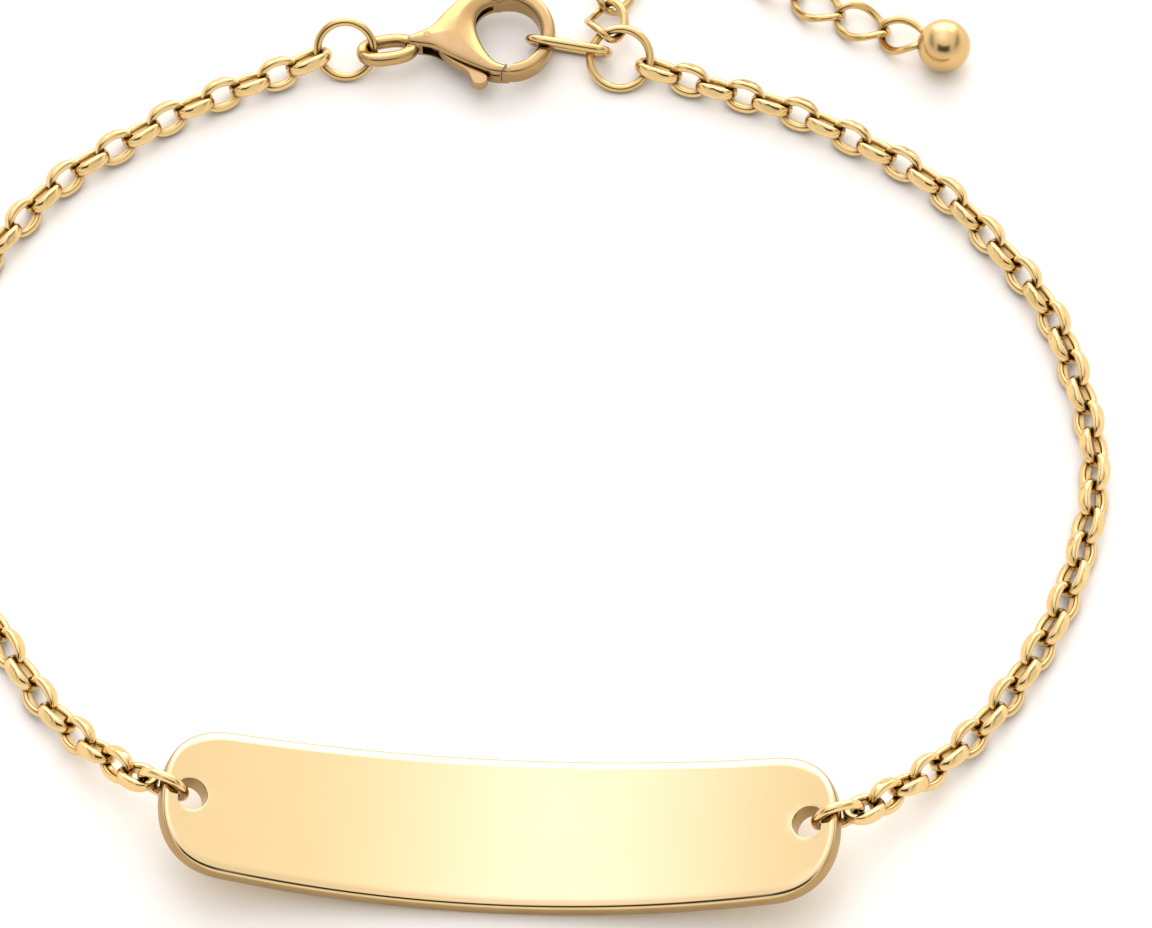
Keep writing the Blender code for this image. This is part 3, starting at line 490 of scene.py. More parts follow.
BALL_GOLD = polished_gold(
    "ball_satin_gold", (0.67, 0.46, 0.205), (0.62, 0.415, 0.17), 0.215, satin=0.05,
    ripple=0.002 * MM, ripple_size=1.1 * MM, brush=0.05, crevice=0.4 * MM)


# Mesh helpers


def new_object(name, data):
    obj = bpy.data.objects.new(name, data)
    bpy.context.scene.collection.objects.link(obj)
    return obj


def add_piece(name, bm, finish, place=None, smooth_angle=40):
    """Turn a bmesh into a named object in the model's frame."""
    bmesh.ops.recalc_face_normals(bm, faces=bm.faces)
    mesh = bpy.data.meshes.new(name)
    bm.to_mesh(mesh)
    bm.free()
    mesh.transform(TO_MODEL @ (place or Matrix.Identity(4)))
    mesh.shade_smooth()
    mesh.set_sharp_from_angle(angle=math.radians(smooth_angle))
    mesh.materials.append(finish)
    return new_object(name, mesh)


def stand_in(piece, node, body):
    """The piece takes the place of a solid and moves with its body."""
    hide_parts(node)
    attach(piece, body)


def apply_all(obj):
    """Make an object's modifiers final and drop the shapes that they used."""
    bpy.context.view_layer.update()
    used = {modifier.object for modifier in obj.modifiers
            if getattr(modifier, "object", None) is not None}
    view = bpy.context.evaluated_depsgraph_get()
    final = bpy.data.meshes.new_from_object(obj.evaluated_get(view))
    obj.modifiers.clear()
    obj.data = final
    for shape in used:
        bpy.data.objects.remove(shape, do_unlink=True)


def combine(obj, operation, shape):
    modifier = obj.modifiers.new(operation.lower() + "_" + shape.name, "BOOLEAN")
    modifier.operation = operation
    modifier.solver = "EXACT"
    modifier.object = shape


def skin_rings(bm, rings, closed):
    """Faces between neighbouring rings of vertices, each ring closed."""
    count = len(rings)
    last = count if closed else count - 1
    for i in range(last):
        here, there = rings[i], rings[(i + 1) % count]
        sides = len(here)
        for k in range(sides):
            j = (k + 1) % sides
            bm.faces.new((here[k], here[j], there[j], there[k]))


def extrude_outline(points, bottom, top):
    bm = bmesh.new()
    face = bm.faces.new([bm.verts.new((x, y, bottom)) for x, y in points])
    made = bmesh.ops.extrude_face_region(bm, geom=[face])
    raised = [item for item in made["geom"] if isinstance(item, bmesh.types.BMVert)]
    bmesh.ops.translate(bm, vec=(0, 0, top - bottom), verts=raised)
    return bm


def arc_points(centre, radius, start, end, steps):
    points = []
    for k in range(steps + 1):
        angle = start + (end - start) * k / steps
        points.append((centre[0] + radius * math.cos(angle),
                       centre[1] + radius * math.sin(angle)))
    return points


def circle_points(centre, radius, steps):
    return arc_points(centre, radius, 0.0, 2 * math.pi, steps)[:-1]


def quarter_round(radius, steps, turned=1.0):
    """Rows along a rounded edge: how far in from the wall, and from the flat."""
    rows = []
    for k in range(steps + 1):
        turn = math.pi / 2 * k / steps * turned
        rows.append((radius * (1 - math.sin(turn)), radius * (1 - math.cos(turn))))
    return rows


def curve_value(before, start, end, after, share):
    """One number on the smooth curve that passes through start and end."""
    return 0.5 * (2 * start + (end - before) * share
                  + (2 * before - 5 * start + 4 * end - after) * share ** 2
                  + (3 * start - before - 3 * end + after) * share ** 3)


def smooth_run(points, steps):
    """More rows between the given rows of numbers, on a smooth curve."""
    rows = []
    for i in range(len(points) - 1):
        before = points[max(i - 1, 0)]
        start, end = points[i], points[i + 1]
        after = points[min(i + 2, len(points) - 1)]
        for k in range(steps):
            share = k / steps
            rows.append(tuple(curve_value(*column, share)
                              for column in zip(before, start, end, after)))
    rows.append(tuple(points[-1]))
    return rows


def in_mm(rows):
    return [tuple(value * MM for value in row) for row in rows]


def power(value, exponent):
    return math.copysign(abs(value) ** exponent, value)


# Plate


def plate_point(along, across, height):
    """A point of the bent plate from its place on the flat blank."""
    angle = along / (PLATE_BEND_RADIUS - PLATE_THICKNESS / 2)
    radius = PLATE_BEND_RADIUS - height
    return Vector((radius * math.sin(angle), across,
                   PLATE_BEND_RADIUS - radius * math.cos(angle)))


def plate_outline(inset, end_steps=26, middle_steps=90):
    """The blank's whole outline, as (along, across) rows, drawn in by an inset."""
    half = PLATE_LENGTH / 2 - inset
    depth = PLATE_END_DEPTH - inset
    straight = half - depth

    def side(along):
        return PLATE_WIDTH / 2 - inset - PLATE_BARREL * (along / half) ** 2

    end = []
    for k in range(end_steps):
        turn = math.pi / 2 * k / end_steps
        along = straight + depth * math.cos(turn) ** (2 / PLATE_END_POWER)
        end.append((along, side(along) * math.sin(turn) ** (2 / PLATE_END_POWER)))
    middle = [straight * (1 - 2 * k / middle_steps) for k in range(middle_steps + 1)]
    row = end + [(along, side(along)) for along in middle]
    upper = row + [(-along, across) for along, across in reversed(end)]
    return upper + [(along, -across) for along, across in reversed(upper[1:-1])]


def edge_profile():
    """Inset, height and soft fall of the plate's edge, from the underside to the top."""
    rows = [(inset, height, 0.0) for inset, height in quarter_round(PLATE_EDGE_ROUND, 6)]
    rows += [(inset, PLATE_THICKNESS - drop, PLATE_ROLL_DEPTH)
             for drop, inset in quarter_round(PLATE_EDGE_ROUND, 8, PLATE_TOP_TURN)]
    start_inset, start_height, _ = rows[-1]
    for k in range(1, PLATE_FALL_STEPS + 1):
        share = k / PLATE_FALL_STEPS
        left = (1 - share) ** PLATE_FALL_POWER
        rows.append((start_inset + (PLATE_ROLL_OFF - start_inset) * share,
                     PLATE_THICKNESS - (PLATE_THICKNESS - start_height) * left,
                     PLATE_ROLL_DEPTH * left))
    return rows


def fall_share(across):
    """How much of the soft fall there is: all on the long edges, none at the ends."""
    share = (abs(across) / (PLATE_WIDTH / 2) - PLATE_FALL_FROM) / (1 - PLATE_FALL_FROM)
    share = max(0.0, share)
    return share * share * (3 - 2 * share)


def hole_middle(side):
    return (side * (PLATE_LENGTH / 2 - HOLE_RIM - HOLE_DIAMETER / 2), 0.0)


def hole_rim(side, grow, steps=56):
    return circle_points(hole_middle(side), HOLE_DIAMETER / 2 + grow, steps)


def hole_distance(place):
    """From a point of the flat blank to the middle of the nearer hole."""
    return min((place - Vector(hole_middle(side))).length for side in (LEFT, RIGHT))


def inside_loop(place, loop):
    """Whether a flat point is inside a closed row of points."""
    inside = False
    for k, a in enumerate(loop):
        b = loop[(k + 1) % len(loop)]
        if (a.y > place.y) != (b.y > place.y):
            if place.x < a.x + (place.y - a.y) / (b.y - a.y) * (b.x - a.x):
                inside = not inside
    return inside


def is_clear(along, across, loop):
    """Whether a point of the flat blank is clear of its outline and its holes."""
    place = Vector((along, across))
    to_outline = min((place - corner).length for corner in loop)
    level_half = PLATE_WIDTH / 2 - PLATE_ROLL_OFF - PLATE_BARREL
    if to_outline <= FACE_GAP or abs(across) >= level_half:
        return False
    if hole_distance(place) <= HOLE_DIAMETER / 2 + FACE_GAP:
        return False
    if abs(along) < PLATE_LENGTH / 2 - PLATE_END_DEPTH * FACE_END_FROM:
        return True
    return (abs(across) < FACE_END_REACH and to_outline > FACE_END_GAP
            and inside_loop(place, loop))


def inner_points(loop):
    """The grid of points that gives a side of the plate its small faces."""
    columns = int(PLATE_LENGTH / FACE_SPACING)
    rows = int(PLATE_WIDTH / FACE_SPACING)
    points = []
    for i in range(1, columns):
        along = -PLATE_LENGTH / 2 + i * PLATE_LENGTH / columns
        for j in range(1, rows):
            across = -PLATE_WIDTH / 2 + j * PLATE_WIDTH / rows
            if is_clear(along, across, loop):
                points.append(Vector((along, across)))
    return points


def fill_face(bm, height, outline, outline_verts, rims, rim_verts):
    """Small faces over one side of the plate, between its outline and its holes."""
    points = []
    verts = []
    edges = []
    for ring, ring_verts in zip([outline] + rims, [outline_verts] + rim_verts):
        first = len(points)
        points += [Vector(row) for row in ring]
        verts += ring_verts
        edges += [(first + k, first + (k + 1) % len(ring)) for k in range(len(ring))]
    loop = points[:len(outline)]
    inner = inner_points(loop)
    points += inner
    verts += [None] * len(inner)
    new_points, _, new_faces, origins = geometry.delaunay_2d_cdt(
        points, edges, [], 0, FACE_MERGE)[:4]
    found = []
    for point, origin in zip(new_points, origins):
        old = next((verts[k] for k in origin if verts[k] is not None), None)
        found.append(old or bm.verts.new(plate_point(point.x, point.y, height)))
    for face in new_faces:
        middle = sum((new_points[k] for k in face), Vector((0.0, 0.0))) / len(face)
        if hole_distance(middle) >= HOLE_DIAMETER / 2 and inside_loop(middle, loop):
            bm.faces.new([found[k] for k in face])


def hole_wall(bm, side):
    """Rings of vertices down the wall of one punched hole, with the faces between."""
    corner = quarter_round(HOLE_EDGE_ROUND, 4)
    rows = corner + [(grow, PLATE_THICKNESS - height) for grow, height in reversed(corner)]
    rings = [[bm.verts.new(plate_point(along, across, height))
              for along, across in hole_rim(side, grow)] for grow, height in rows]
    skin_rings(bm, rings, closed=False)
    return rings


def build_plate():
    bm = bmesh.new()
    profile = edge_profile()
    rings = [[bm.verts.new(plate_point(along, across, height - fall * fall_share(across)))
              for along, across in plate_outline(inset)] for inset, height, fall in profile]
    skin_rings(bm, rings, closed=False)
    walls = [hole_wall(bm, side) for side in (LEFT, RIGHT)]
    rims = [hole_rim(side, HOLE_EDGE_ROUND) for side in (LEFT, RIGHT)]
    for end, height in ((0, 0.0), (-1, PLATE_THICKNESS)):
        fill_face(bm, height, plate_outline(profile[end][0]), rings[end], rims,
                  [wall[end] for wall in walls])
    plate = add_piece("name_plate_polished", bm, PLATE_GOLD, smooth_angle=60)
    # The walls and hole sides take the darker gold, a painted shade
    plate.data.materials.append(PLATE_WALL_SHADE_GOLD)
    for face in plate.data.polygons:
        lean = math.asin((face.center.x - PLATE_MIDDLE.x) / PLATE_BEND_RADIUS)
        up = Vector((-math.sin(lean), 0.0, math.cos(lean)))
        if abs(face.normal.dot(up)) < PLATE_WALL_SHARE:
            face.material_index = 1
    stand_in(plate, "name_plate", "anklet")


# Links and rings


def oval_line(half_length, half_width, squareness, count, fine=720):
    """Evenly spaced points round an oval, with the outward direction at each."""
    rows = []
    for i in range(fine + 1):
        angle = 2 * math.pi * (i % fine) / fine
        rows.append(Vector((half_length * power(math.cos(angle), 2 / squareness),
                            half_width * power(math.sin(angle), 2 / squareness))))
    points = evenly_spaced(rows, count)
    line = []
    for k in range(count):
        ahead = (points[(k + 1) % count] - points[k - 1]).normalized()
        line.append((points[k], Vector((ahead.y, -ahead.x))))
    return line


def run_lengths(line):
    """How far along a line each of its points is."""
    lengths = [0.0]
    for here, there in zip(line, line[1:]):
        lengths.append(lengths[-1] + (there - here).length)
    return lengths


def points_at(line, lengths, distances):
    """The points of a line at some distances along it, given in rising order."""
    points = []
    i = 0
    for distance in distances:
        while i < len(line) - 2 and lengths[i + 1] < distance:
            i += 1
        share = (distance - lengths[i]) / (lengths[i + 1] - lengths[i])
        points.append(line[i].lerp(line[i + 1], share))
    return points


def evenly_spaced(line, count):
    lengths = run_lengths(line)
    return points_at(line, lengths, [lengths[-1] * k / count for k in range(count)])


def add_link(bm, place, half_length, half_width, radius, steps, sides, squareness=2.0,
             wire_squareness=2.0, side_radius=None, depth=None, side_depth=None, twist=0.0,
             inner_share=1.0, side_cut=0.0, rest_height=None):
    """A closed link of wire in a bmesh. Its wire may be wider and deeper along its
    sides than round its ends, and flatter inside, and its sides may be cut flat."""
    side_radius = side_radius or radius
    depth = depth or radius
    side_depth = side_depth or depth
    flat_limit = half_width + side_radius - side_cut
    rings = []
    for middle_row, outward_row in oval_line(half_length, half_width, squareness, steps):
        lean = twist * middle_row.x / (2 * half_length)
        side = Vector((0.0, math.cos(lean), math.sin(lean)))
        up = Vector((0.0, -math.sin(lean), math.cos(lean)))
        middle = Vector((middle_row.x, 0.0, 0.0)) + side * middle_row.y
        outward = Vector((outward_row.x, 0.0, 0.0)) + side * outward_row.y
        flank = abs(outward_row.y) ** 2
        reach = radius + (side_radius - radius) * flank
        rise = depth + (side_depth - depth) * flank
        ring = []
        for out, above in wire_section(reach, rise, sides, 2 / wire_squareness):
            if out < 0:
                out *= inner_share
            point = middle + outward * out + up * above
            if side_cut > 0:
                point.y = max(-flat_limit, min(flat_limit, point.y))
            point = place @ point
            if rest_height is not None:
                point.z = max(point.z, rest_height)
            ring.append(bm.verts.new(point))
        rings.append(ring)
    skin_rings(bm, rings, closed=True)


def wire_section(half_width, half_height, sides, roundness):
    """Points round a section: an ellipse at a roundness of 1, and squarer below it."""
    turns = [2 * math.pi * (k + 0.5) / sides for k in range(sides)]
    return [(half_width * power(math.cos(turn), roundness),
             half_height * power(math.sin(turn), roundness)) for turn in turns]


def link_place(middle, direction, roll):
    """Matrix that lays a link's length along a direction and rolls its width."""
    forward = direction.normalized()
    side = Vector((0.0, 0.0, 1.0)).cross(forward).normalized()
    upright = forward.cross(side)
    across = side * math.cos(roll) + upright * math.sin(roll)
    normal = forward.cross(across)
    turn = Matrix((forward, across, normal)).transposed().to_4x4()
    return Matrix.Translation(middle) @ turn


def inside_reach(half_length, half_width, radius, steps, sides, squareness, flat_inside):
    """From the middle of a solid link to the inner side of the wire at its end."""
    inward = radius
    if sides % 2 or flat_inside:
        inward *= math.cos(math.pi / sides)
    angle = math.pi / steps
    reach = half_length / math.cos(angle) ** (2 / squareness)
    along = math.cos(angle) ** (2 - 2 / squareness) / reach
    across = math.sin(angle) ** (2 - 2 / squareness) / half_width
    return half_length - inward * along / math.hypot(along, across)


def chain_line(route, start, end, lying_height):
    """The smooth curve of a chain's route, from its first joint to its last."""
    rows = [start] + [route_point(row, lying_height) for row in route]
    if end is not None:
        rows.append(end)
    return [Vector(row) for row in smooth_run(rows, ROUTE_STEPS)]


def route_point(row, lying_height):
    return Vector((row[0] * MM, row[1] * MM, row[2] * MM + lying_height))


def first_joint(wire_middle, wire_radius, towards, gap):
    """Where a chain begins that hangs from a wire and leaves it towards a point."""
    direction = (towards - wire_middle).normalized()
    return wire_middle - direction * (wire_radius + gap + LINK_BITE / 2)


def spread_joints(line, pitch, first_extra=0.0, links=None):
    """The joints between links, where the solids have them."""
    lengths = run_lengths(line)
    if links is None:
        links = 2 * int((lengths[-1] - first_extra) / pitch / 2)
        pitch = (lengths[-1] - first_extra) / links
    distances = [pitch * k + (first_extra if k else 0.0) for k in range(links + 1)]
    return points_at(line, lengths, distances)


CABLE_HALF_LENGTH = CHAIN_LINK_LENGTH / 2 - CHAIN_WIRE_RADIUS
CABLE_HALF_WIDTH = CHAIN_LINK_WIDTH / 2 - CHAIN_WIRE_RADIUS
CABLE_PITCH = LINK_BITE + 2 * inside_reach(
    CABLE_HALF_LENGTH, CABLE_HALF_WIDTH, CHAIN_WIRE_RADIUS, CHAIN_SOLID_STEPS,
    CHAIN_SOLID_SIDES, CHAIN_SQUARENESS, flat_inside=False)
CABLE_HEIGHT = (CABLE_HALF_WIDTH * max(math.sin(CHAIN_ROLL), math.cos(CHAIN_ROLL))
                + CHAIN_WIRE_RADIUS)

CURB_HALF_LENGTH = EXTENDER_LINK_LENGTH / 2 - EXTENDER_WIRE_RADIUS
CURB_HALF_WIDTH = EXTENDER_LINK_WIDTH / 2 - EXTENDER_WIRE_RADIUS
CURB_REACH = inside_reach(
    CURB_HALF_LENGTH, CURB_HALF_WIDTH, EXTENDER_WIRE_RADIUS, EXTENDER_SOLID_STEPS,
    EXTENDER_SOLID_SIDES, squareness=2.0, flat_inside=True)
CURB_PITCH = 2 * CURB_REACH + LINK_BITE
CURB_HEIGHT = (CURB_HALF_WIDTH * math.sin(abs(EXTENDER_TWIST) / 2) * EXTENDER_SETTLE
               + EXTENDER_WIRE_RADIUS)


def ring_place(centre, diameter, tilt):
    radius = diameter / 2 - RING_WIRE_RADIUS
    height = RING_WIRE_RADIUS + radius * math.sin(tilt)
    return (Matrix.Translation((centre[0], centre[1], height))
            @ Matrix.Rotation(tilt, 4, "X"))


def ring_point(place, diameter, angle):
    radius = diameter / 2 - RING_WIRE_RADIUS
    return place @ Vector((radius * math.cos(angle), radius * math.sin(angle), 0.0))


RING_LEFT_PLACE = ring_place(RING_CENTRE_LEFT, RING_DIAMETER_LEFT, RING_TILT_LEFT)
RING_RIGHT_PLACE = ring_place(RING_CENTRE_RIGHT, RING_DIAMETER_RIGHT, RING_TILT_RIGHT)


def build_rings():
    for label, place, diameter in (("left", RING_LEFT_PLACE, RING_DIAMETER_LEFT),
                                   ("right", RING_RIGHT_PLACE, RING_DIAMETER_RIGHT)):
        bm = bmesh.new()
        middle = diameter / 2 - RING_WIRE_RADIUS
        add_link(bm, place, middle, middle, RING_WIRE_RADIUS, steps=88, sides=20)
        ring = add_piece("jump_ring_wire_" + label, bm, RING_GOLD)
        stand_in(ring, "jump_ring_" + label, "anklet")


def connector_place():
    across = CONNECTOR_WIDTH / 2 - CONNECTOR_WIRE_RADIUS
    height = CONNECTOR_WIRE_RADIUS + across * math.cos(CONNECTOR_LEAN)
    middle = Vector((CONNECTOR_CENTRE[0], CONNECTOR_CENTRE[1], height))
    forward = Vector((math.cos(CONNECTOR_TURN), math.sin(CONNECTOR_TURN), 0.0))
    return link_place(middle, forward, math.pi / 2 + CONNECTOR_LEAN)


def build_connector():
    bm = bmesh.new()
    add_link(bm, connector_place(), CONNECTOR_LENGTH / 2 - CONNECTOR_WIRE_RADIUS,
             CONNECTOR_WIDTH / 2 - CONNECTOR_WIRE_RADIUS, CONNECTOR_WIRE_RADIUS,
             steps=96, sides=20, squareness=CONNECTOR_SQUARENESS)
    link = add_piece("connector_wire", bm, RING_GOLD)
    stand_in(link, "connector_link", "anklet")


def plate_link_sizes():
    """Half the length and width, at the wire's middle, of a link round the rim."""
    rim = math.hypot(HOLE_RIM, PLATE_THICKNESS)
    middle = rim / 2 + PLATE_LINK_PLAY + PLATE_LINK_WIRE_RADIUS
    return middle * PLATE_LINK_STRETCH, middle


def plate_link_place(side):
    out = (HOLE_DIAMETER + HOLE_RIM) / 2
    along = PLATE_LENGTH / 2 - HOLE_RIM - HOLE_DIAMETER / 2 + out * math.cos(PLATE_LINK_TURN)
    middle = plate_point(side * along, out * math.sin(PLATE_LINK_TURN), PLATE_THICKNESS / 2)
    level = math.cos(PLATE_LINK_DIP)
    direction = Vector((side * math.cos(PLATE_LINK_TURN) * level,
                        math.sin(PLATE_LINK_TURN) * level, -math.sin(PLATE_LINK_DIP)))
    return link_place(middle + direction * PLATE_LINK_PULL, direction, math.pi / 2)


def build_plate_links():
    half_length, half_width = plate_link_sizes()
    for label, side in (("left", LEFT), ("right", RIGHT)):
        bm = bmesh.new()
        add_link(bm, plate_link_place(side), half_length, half_width,
                 PLATE_LINK_WIRE_RADIUS, steps=64, sides=18,
                 squareness=PLATE_LINK_SQUARENESS, inner_share=PLATE_LINK_INNER_SHARE,
                 wire_squareness=PLATE_LINK_WIRE_SQUARENESS)
        link = add_piece("plate_link_wire_" + label, bm, LINK_GOLD)
        stand_in(link, "plate_link_" + label, "anklet")


def build_chain(name, route, ring_wire, rolls, side):
    """A cable chain from the wire of its jump ring to its link on the plate. Links
    take the two rolls in turn."""
    start = first_joint(ring_wire, RING_WIRE_RADIUS, route_point(route[0], CABLE_HEIGHT),
                        CHAIN_HANG_GAP)
    half_length, _ = plate_link_sizes()
    near_plate = plate_link_place(side) @ Vector((half_length, 0.0, 0.0))
    end = first_joint(near_plate, PLATE_LINK_WIRE_RADIUS,
                      route_point(route[-1], CABLE_HEIGHT), CHAIN_HANG_GAP)
    joints = spread_joints(chain_line(route, start, end, CABLE_HEIGHT), CABLE_PITCH,
                           CHAIN_FIRST_EXTRA)
    bm = bmesh.new()
    last = len(joints) - 2
    for i in range(last + 1):
        here, there = joints[i], joints[i + 1]
        near_end = max(0.0, 1 - (last - i) / CHAIN_END_LINKS)
        sway = random.uniform(-CHAIN_SWAY, CHAIN_SWAY) if 0 < i < last - 2 else 0.0
        side_turn = CHAIN_SIDE_TURN * (there - here).normalized().y ** 2 * (1 - near_end)
        roll = rolls[i % 2] - side * (CHAIN_END_TURN * near_end + side_turn) + sway
        extra = CHAIN_FIRST_EXTRA / 2 if i == 0 else 0.0
        add_link(bm, link_place((here + there) / 2, there - here, roll),
                 CABLE_HALF_LENGTH + extra, CABLE_HALF_WIDTH, CHAIN_WIRE_RADIUS,
                 steps=40, sides=20, squareness=CHAIN_SQUARENESS,
                 wire_squareness=CHAIN_WIRE_SQUARENESS, side_radius=CHAIN_SIDE_RADIUS,
                 side_depth=CHAIN_SIDE_DEPTH, inner_share=CHAIN_INNER_SHARE,
                 side_cut=CHAIN_SIDE_CUT, rest_height=LINK_REST)
    chain = add_piece(name + "_links", bm, LINK_GOLD, smooth_angle=30)
    stand_in(chain, name, "anklet")


def add_curb_link(bm, middle, direction):
    add_link(bm, link_place(middle, direction, 0.0), CURB_HALF_LENGTH, CURB_HALF_WIDTH,
             EXTENDER_WIRE_RADIUS, steps=64, sides=16, side_radius=EXTENDER_SIDE_RADIUS,
             twist=EXTENDER_TWIST)


def build_extender():
    near_ring = ring_point(RING_RIGHT_PLACE, RING_DIAMETER_RIGHT, EXTENDER_ANGLE)
    start = first_joint(near_ring, RING_WIRE_RADIUS,
                        route_point(EXTENDER_ROUTE[0], CURB_HEIGHT), EXTENDER_HANG_GAP)
    line = chain_line(EXTENDER_ROUTE, start, None, CURB_HEIGHT)
    joints = spread_joints(line, CURB_PITCH, links=EXTENDER_LINKS)
    bm = bmesh.new()
    for here, there in zip(joints, joints[1:]):
        add_curb_link(bm, (here + there) / 2, there - here)
    chain = add_piece("extender_links", bm, RING_GOLD)
    stand_in(chain, "extender_chain", "anklet")
    build_end_ball(joints[-1], joints[-1] - joints[-2])


def build_end_ball(last, heading):
    """The ball lies on the table, with its link held by the last joint."""
    heading.z = 0.0
    heading.normalize()
    link_to_ball = CURB_HALF_LENGTH + BALL_RADIUS - BALL_SINK
    start_to_ball = CURB_REACH - LINK_BITE / 2 - EXTENDER_HANG_GAP + link_to_ball
    rise = BALL_RADIUS - last.z
    level = math.sqrt(start_to_ball ** 2 - rise ** 2)
    ball_middle = last + heading * level + Vector((0.0, 0.0, rise))
    direction = (ball_middle - last).normalized()
    bm = bmesh.new()
    bmesh.ops.create_uvsphere(bm, u_segments=72, v_segments=44, radius=BALL_RADIUS,
                              matrix=Matrix.Translation(ball_middle))
    add_curb_link(bm, ball_middle - direction * link_to_ball, direction)
    ball = add_piece("end_ball_with_link", bm, BALL_GOLD)
    stand_in(ball, "extender_ball", "anklet")


# Clasp


def clasp_place():
    return (Matrix.Translation((CLASP_CENTRE[0], CLASP_CENTRE[1], CLASP_MID_HEIGHT))
            @ Matrix.Rotation(CLASP_TURN, 4, "Z"))


def clasp_shape(name, bm, place):
    return add_piece(name, bm, CLASP_GOLD, place)


def join(obj, name, bm, place):
    combine(obj, "UNION", clasp_shape(name, bm, place))


def cut(obj, name, bm, place):
    combine(obj, "DIFFERENCE", clasp_shape(name, bm, place))


def clasp_outline():
    outline = []
    for run in (CLASP_SHOULDER, CLASP_THROAT, CLASP_GATE):
        outline += in_mm(smooth_run(run, CLASP_OUTLINE_STEPS))
    return outline


def clasp_rim(outline):
    """Closely set points round the slab, but for the side that the hook grows from."""
    hook_side = (len(CLASP_SHOULDER) - 1) * CLASP_OUTLINE_STEPS
    rim = kdtree.KDTree(len(outline) * CLASP_RIM_STEPS)
    for k, here in enumerate(outline):
        there = outline[(k + 1) % len(outline)]
        if k == hook_side:
            here = there
        for part in range(CLASP_RIM_STEPS):
            share = part / CLASP_RIM_STEPS
            rim.insert((here[0] + (there[0] - here[0]) * share,
                        here[1] + (there[1] - here[1]) * share, 0.0),
                       k * CLASP_RIM_STEPS + part)
    rim.balance()
    return rim


def clasp_slab(place):
    """Shoulder, flanks and gate, full in the middle and thinner towards the rim."""
    outline = clasp_outline()
    slab = clasp_shape("clasp_slab",
                       extrude_outline(outline, -CLASP_DEPTH / 2, CLASP_DEPTH / 2), place)
    remesh(slab, CLASP_GRAIN)
    apply_all(slab)
    rim = clasp_rim(outline)
    whole = TO_MODEL @ place
    to_clasp = whole.inverted()
    for vertex in slab.data.vertices:
        point = to_clasp @ vertex.co
        distance = rim.find((point.x, point.y, 0.0))[2]
        share = min(distance / CLASP_PILLOW_REACH, 1.0)
        swell = math.sqrt(max(0.0, 1 - (1 - share) ** 2))
        point.z *= CLASP_PILLOW_EDGE + (1 - CLASP_PILLOW_EDGE) * swell
        vertex.co = whole @ point
    return slab


def clasp_hook(steps=56, sides=24):
    bm = bmesh.new()
    rings = []
    for i in range(steps + 1):
        share = i / steps
        angle = HOOK_ROOT_ANGLE + (HOOK_TIP_ANGLE - HOOK_ROOT_ANGLE) * share
        middle = Vector((HOOK_HALF_LENGTH * math.cos(angle),
                         HOOK_HALF_WIDTH * math.sin(angle), 0.0))
        outward = Vector((math.cos(angle) / HOOK_HALF_LENGTH,
                          math.sin(angle) / HOOK_HALF_WIDTH, 0.0)).normalized()
        width = HOOK_ROOT_WIDTH + (HOOK_TIP_WIDTH - HOOK_ROOT_WIDTH) * share
        depth = HOOK_ROOT_DEPTH + (HOOK_TIP_DEPTH - HOOK_ROOT_DEPTH) * share
        depth *= 1 - HOOK_ROOT_SINK * max(0.0, 1 - share / HOOK_ROOT_BLEND) ** 2
        rings.append([bm.verts.new(middle + outward * out + Vector((0.0, 0.0, up)))
                      for out, up in wire_section(width / 2, depth / 2, sides,
                                                  HOOK_ROUNDNESS)])
    skin_rings(bm, rings, closed=False)
    bm.faces.new(rings[0])
    bm.faces.new(rings[-1])
    return bm


def clasp_tail():
    place = (Matrix.Translation((TAIL_CENTRE[0], TAIL_CENTRE[1], 0.0))
             @ Matrix.Rotation(TAIL_TURN, 4, "Z") @ Matrix.Rotation(TAIL_ROLL, 4, "X"))
    bm = bmesh.new()
    add_link(bm, place, TAIL_LENGTH / 2 - TAIL_BAND / 2, TAIL_WIDTH / 2 - TAIL_BAND / 2,
             TAIL_BAND / 2, steps=64, sides=20, squareness=TAIL_SQUARENESS,
             wire_squareness=TAIL_BAND_SQUARENESS, depth=TAIL_DEPTH / 2)
    return bm


def sector(inner, outer, steps=40):
    """The part of a ring round the rivet that the gate's end fills."""
    points = arc_points(PIVOT_PLACE, outer, GATE_FROM, GATE_TO, steps)
    points += arc_points(PIVOT_PLACE, inner, GATE_TO, GATE_FROM, steps)
    return extrude_outline(points, -CLASP_DEPTH, CLASP_DEPTH)


def lever_slot():
    """The slot through the flanks that the lever turns in."""
    half = LEVER_THICKNESS / 2 + LEVER_GAP
    boss = LEVER_BOSS_RADIUS + LEVER_GAP
    points = arc_points(PIVOT_PLACE, SLOT_REACH, SLOT_FROM, SLOT_TO, 30)
    points += arc_points(PIVOT_PLACE, boss, SLOT_TO, SLOT_FROM + 2 * math.pi, 24)
    return extrude_outline(points, -half, half)


def gate_groove():
    """A thin slab along the gate's outer side, which leaves a second edge under it."""
    start, end = Vector(GATE_GROOVE_FROM), Vector(GATE_GROOVE_TO)
    along = (end - start).normalized()
    inward = Vector((-along.y, along.x)) * -GATE_GROOVE_REACH
    corners = [start + inward, start - inward * 2, end - inward * 2, end + inward]
    return extrude_outline(in_mm(corners), *GATE_GROOVE_HEIGHT)


def rivet_reach(body, pivot):
    """Lowest and highest point of the casting on the rivet's axis."""
    middle = PLATE_MIDDLE + pivot.translation
    up = Vector((0.0, 0.0, 1.0))
    top = body.ray_cast(middle + up * CLASP_DEPTH, -up)[1]
    bottom = body.ray_cast(middle - up * CLASP_DEPTH, up)[1]
    return bottom.z - middle.z, top.z - middle.z


def upright_rod(radius, bottom, top, sides=40):
    return extrude_outline(circle_points((0.0, 0.0), radius, sides), bottom, top)


def remesh(obj, cell):
    cells = obj.modifiers.new("cells", "REMESH")
    cells.mode = "VOXEL"
    cells.voxel_size = cell
    cells.use_smooth_shade = True


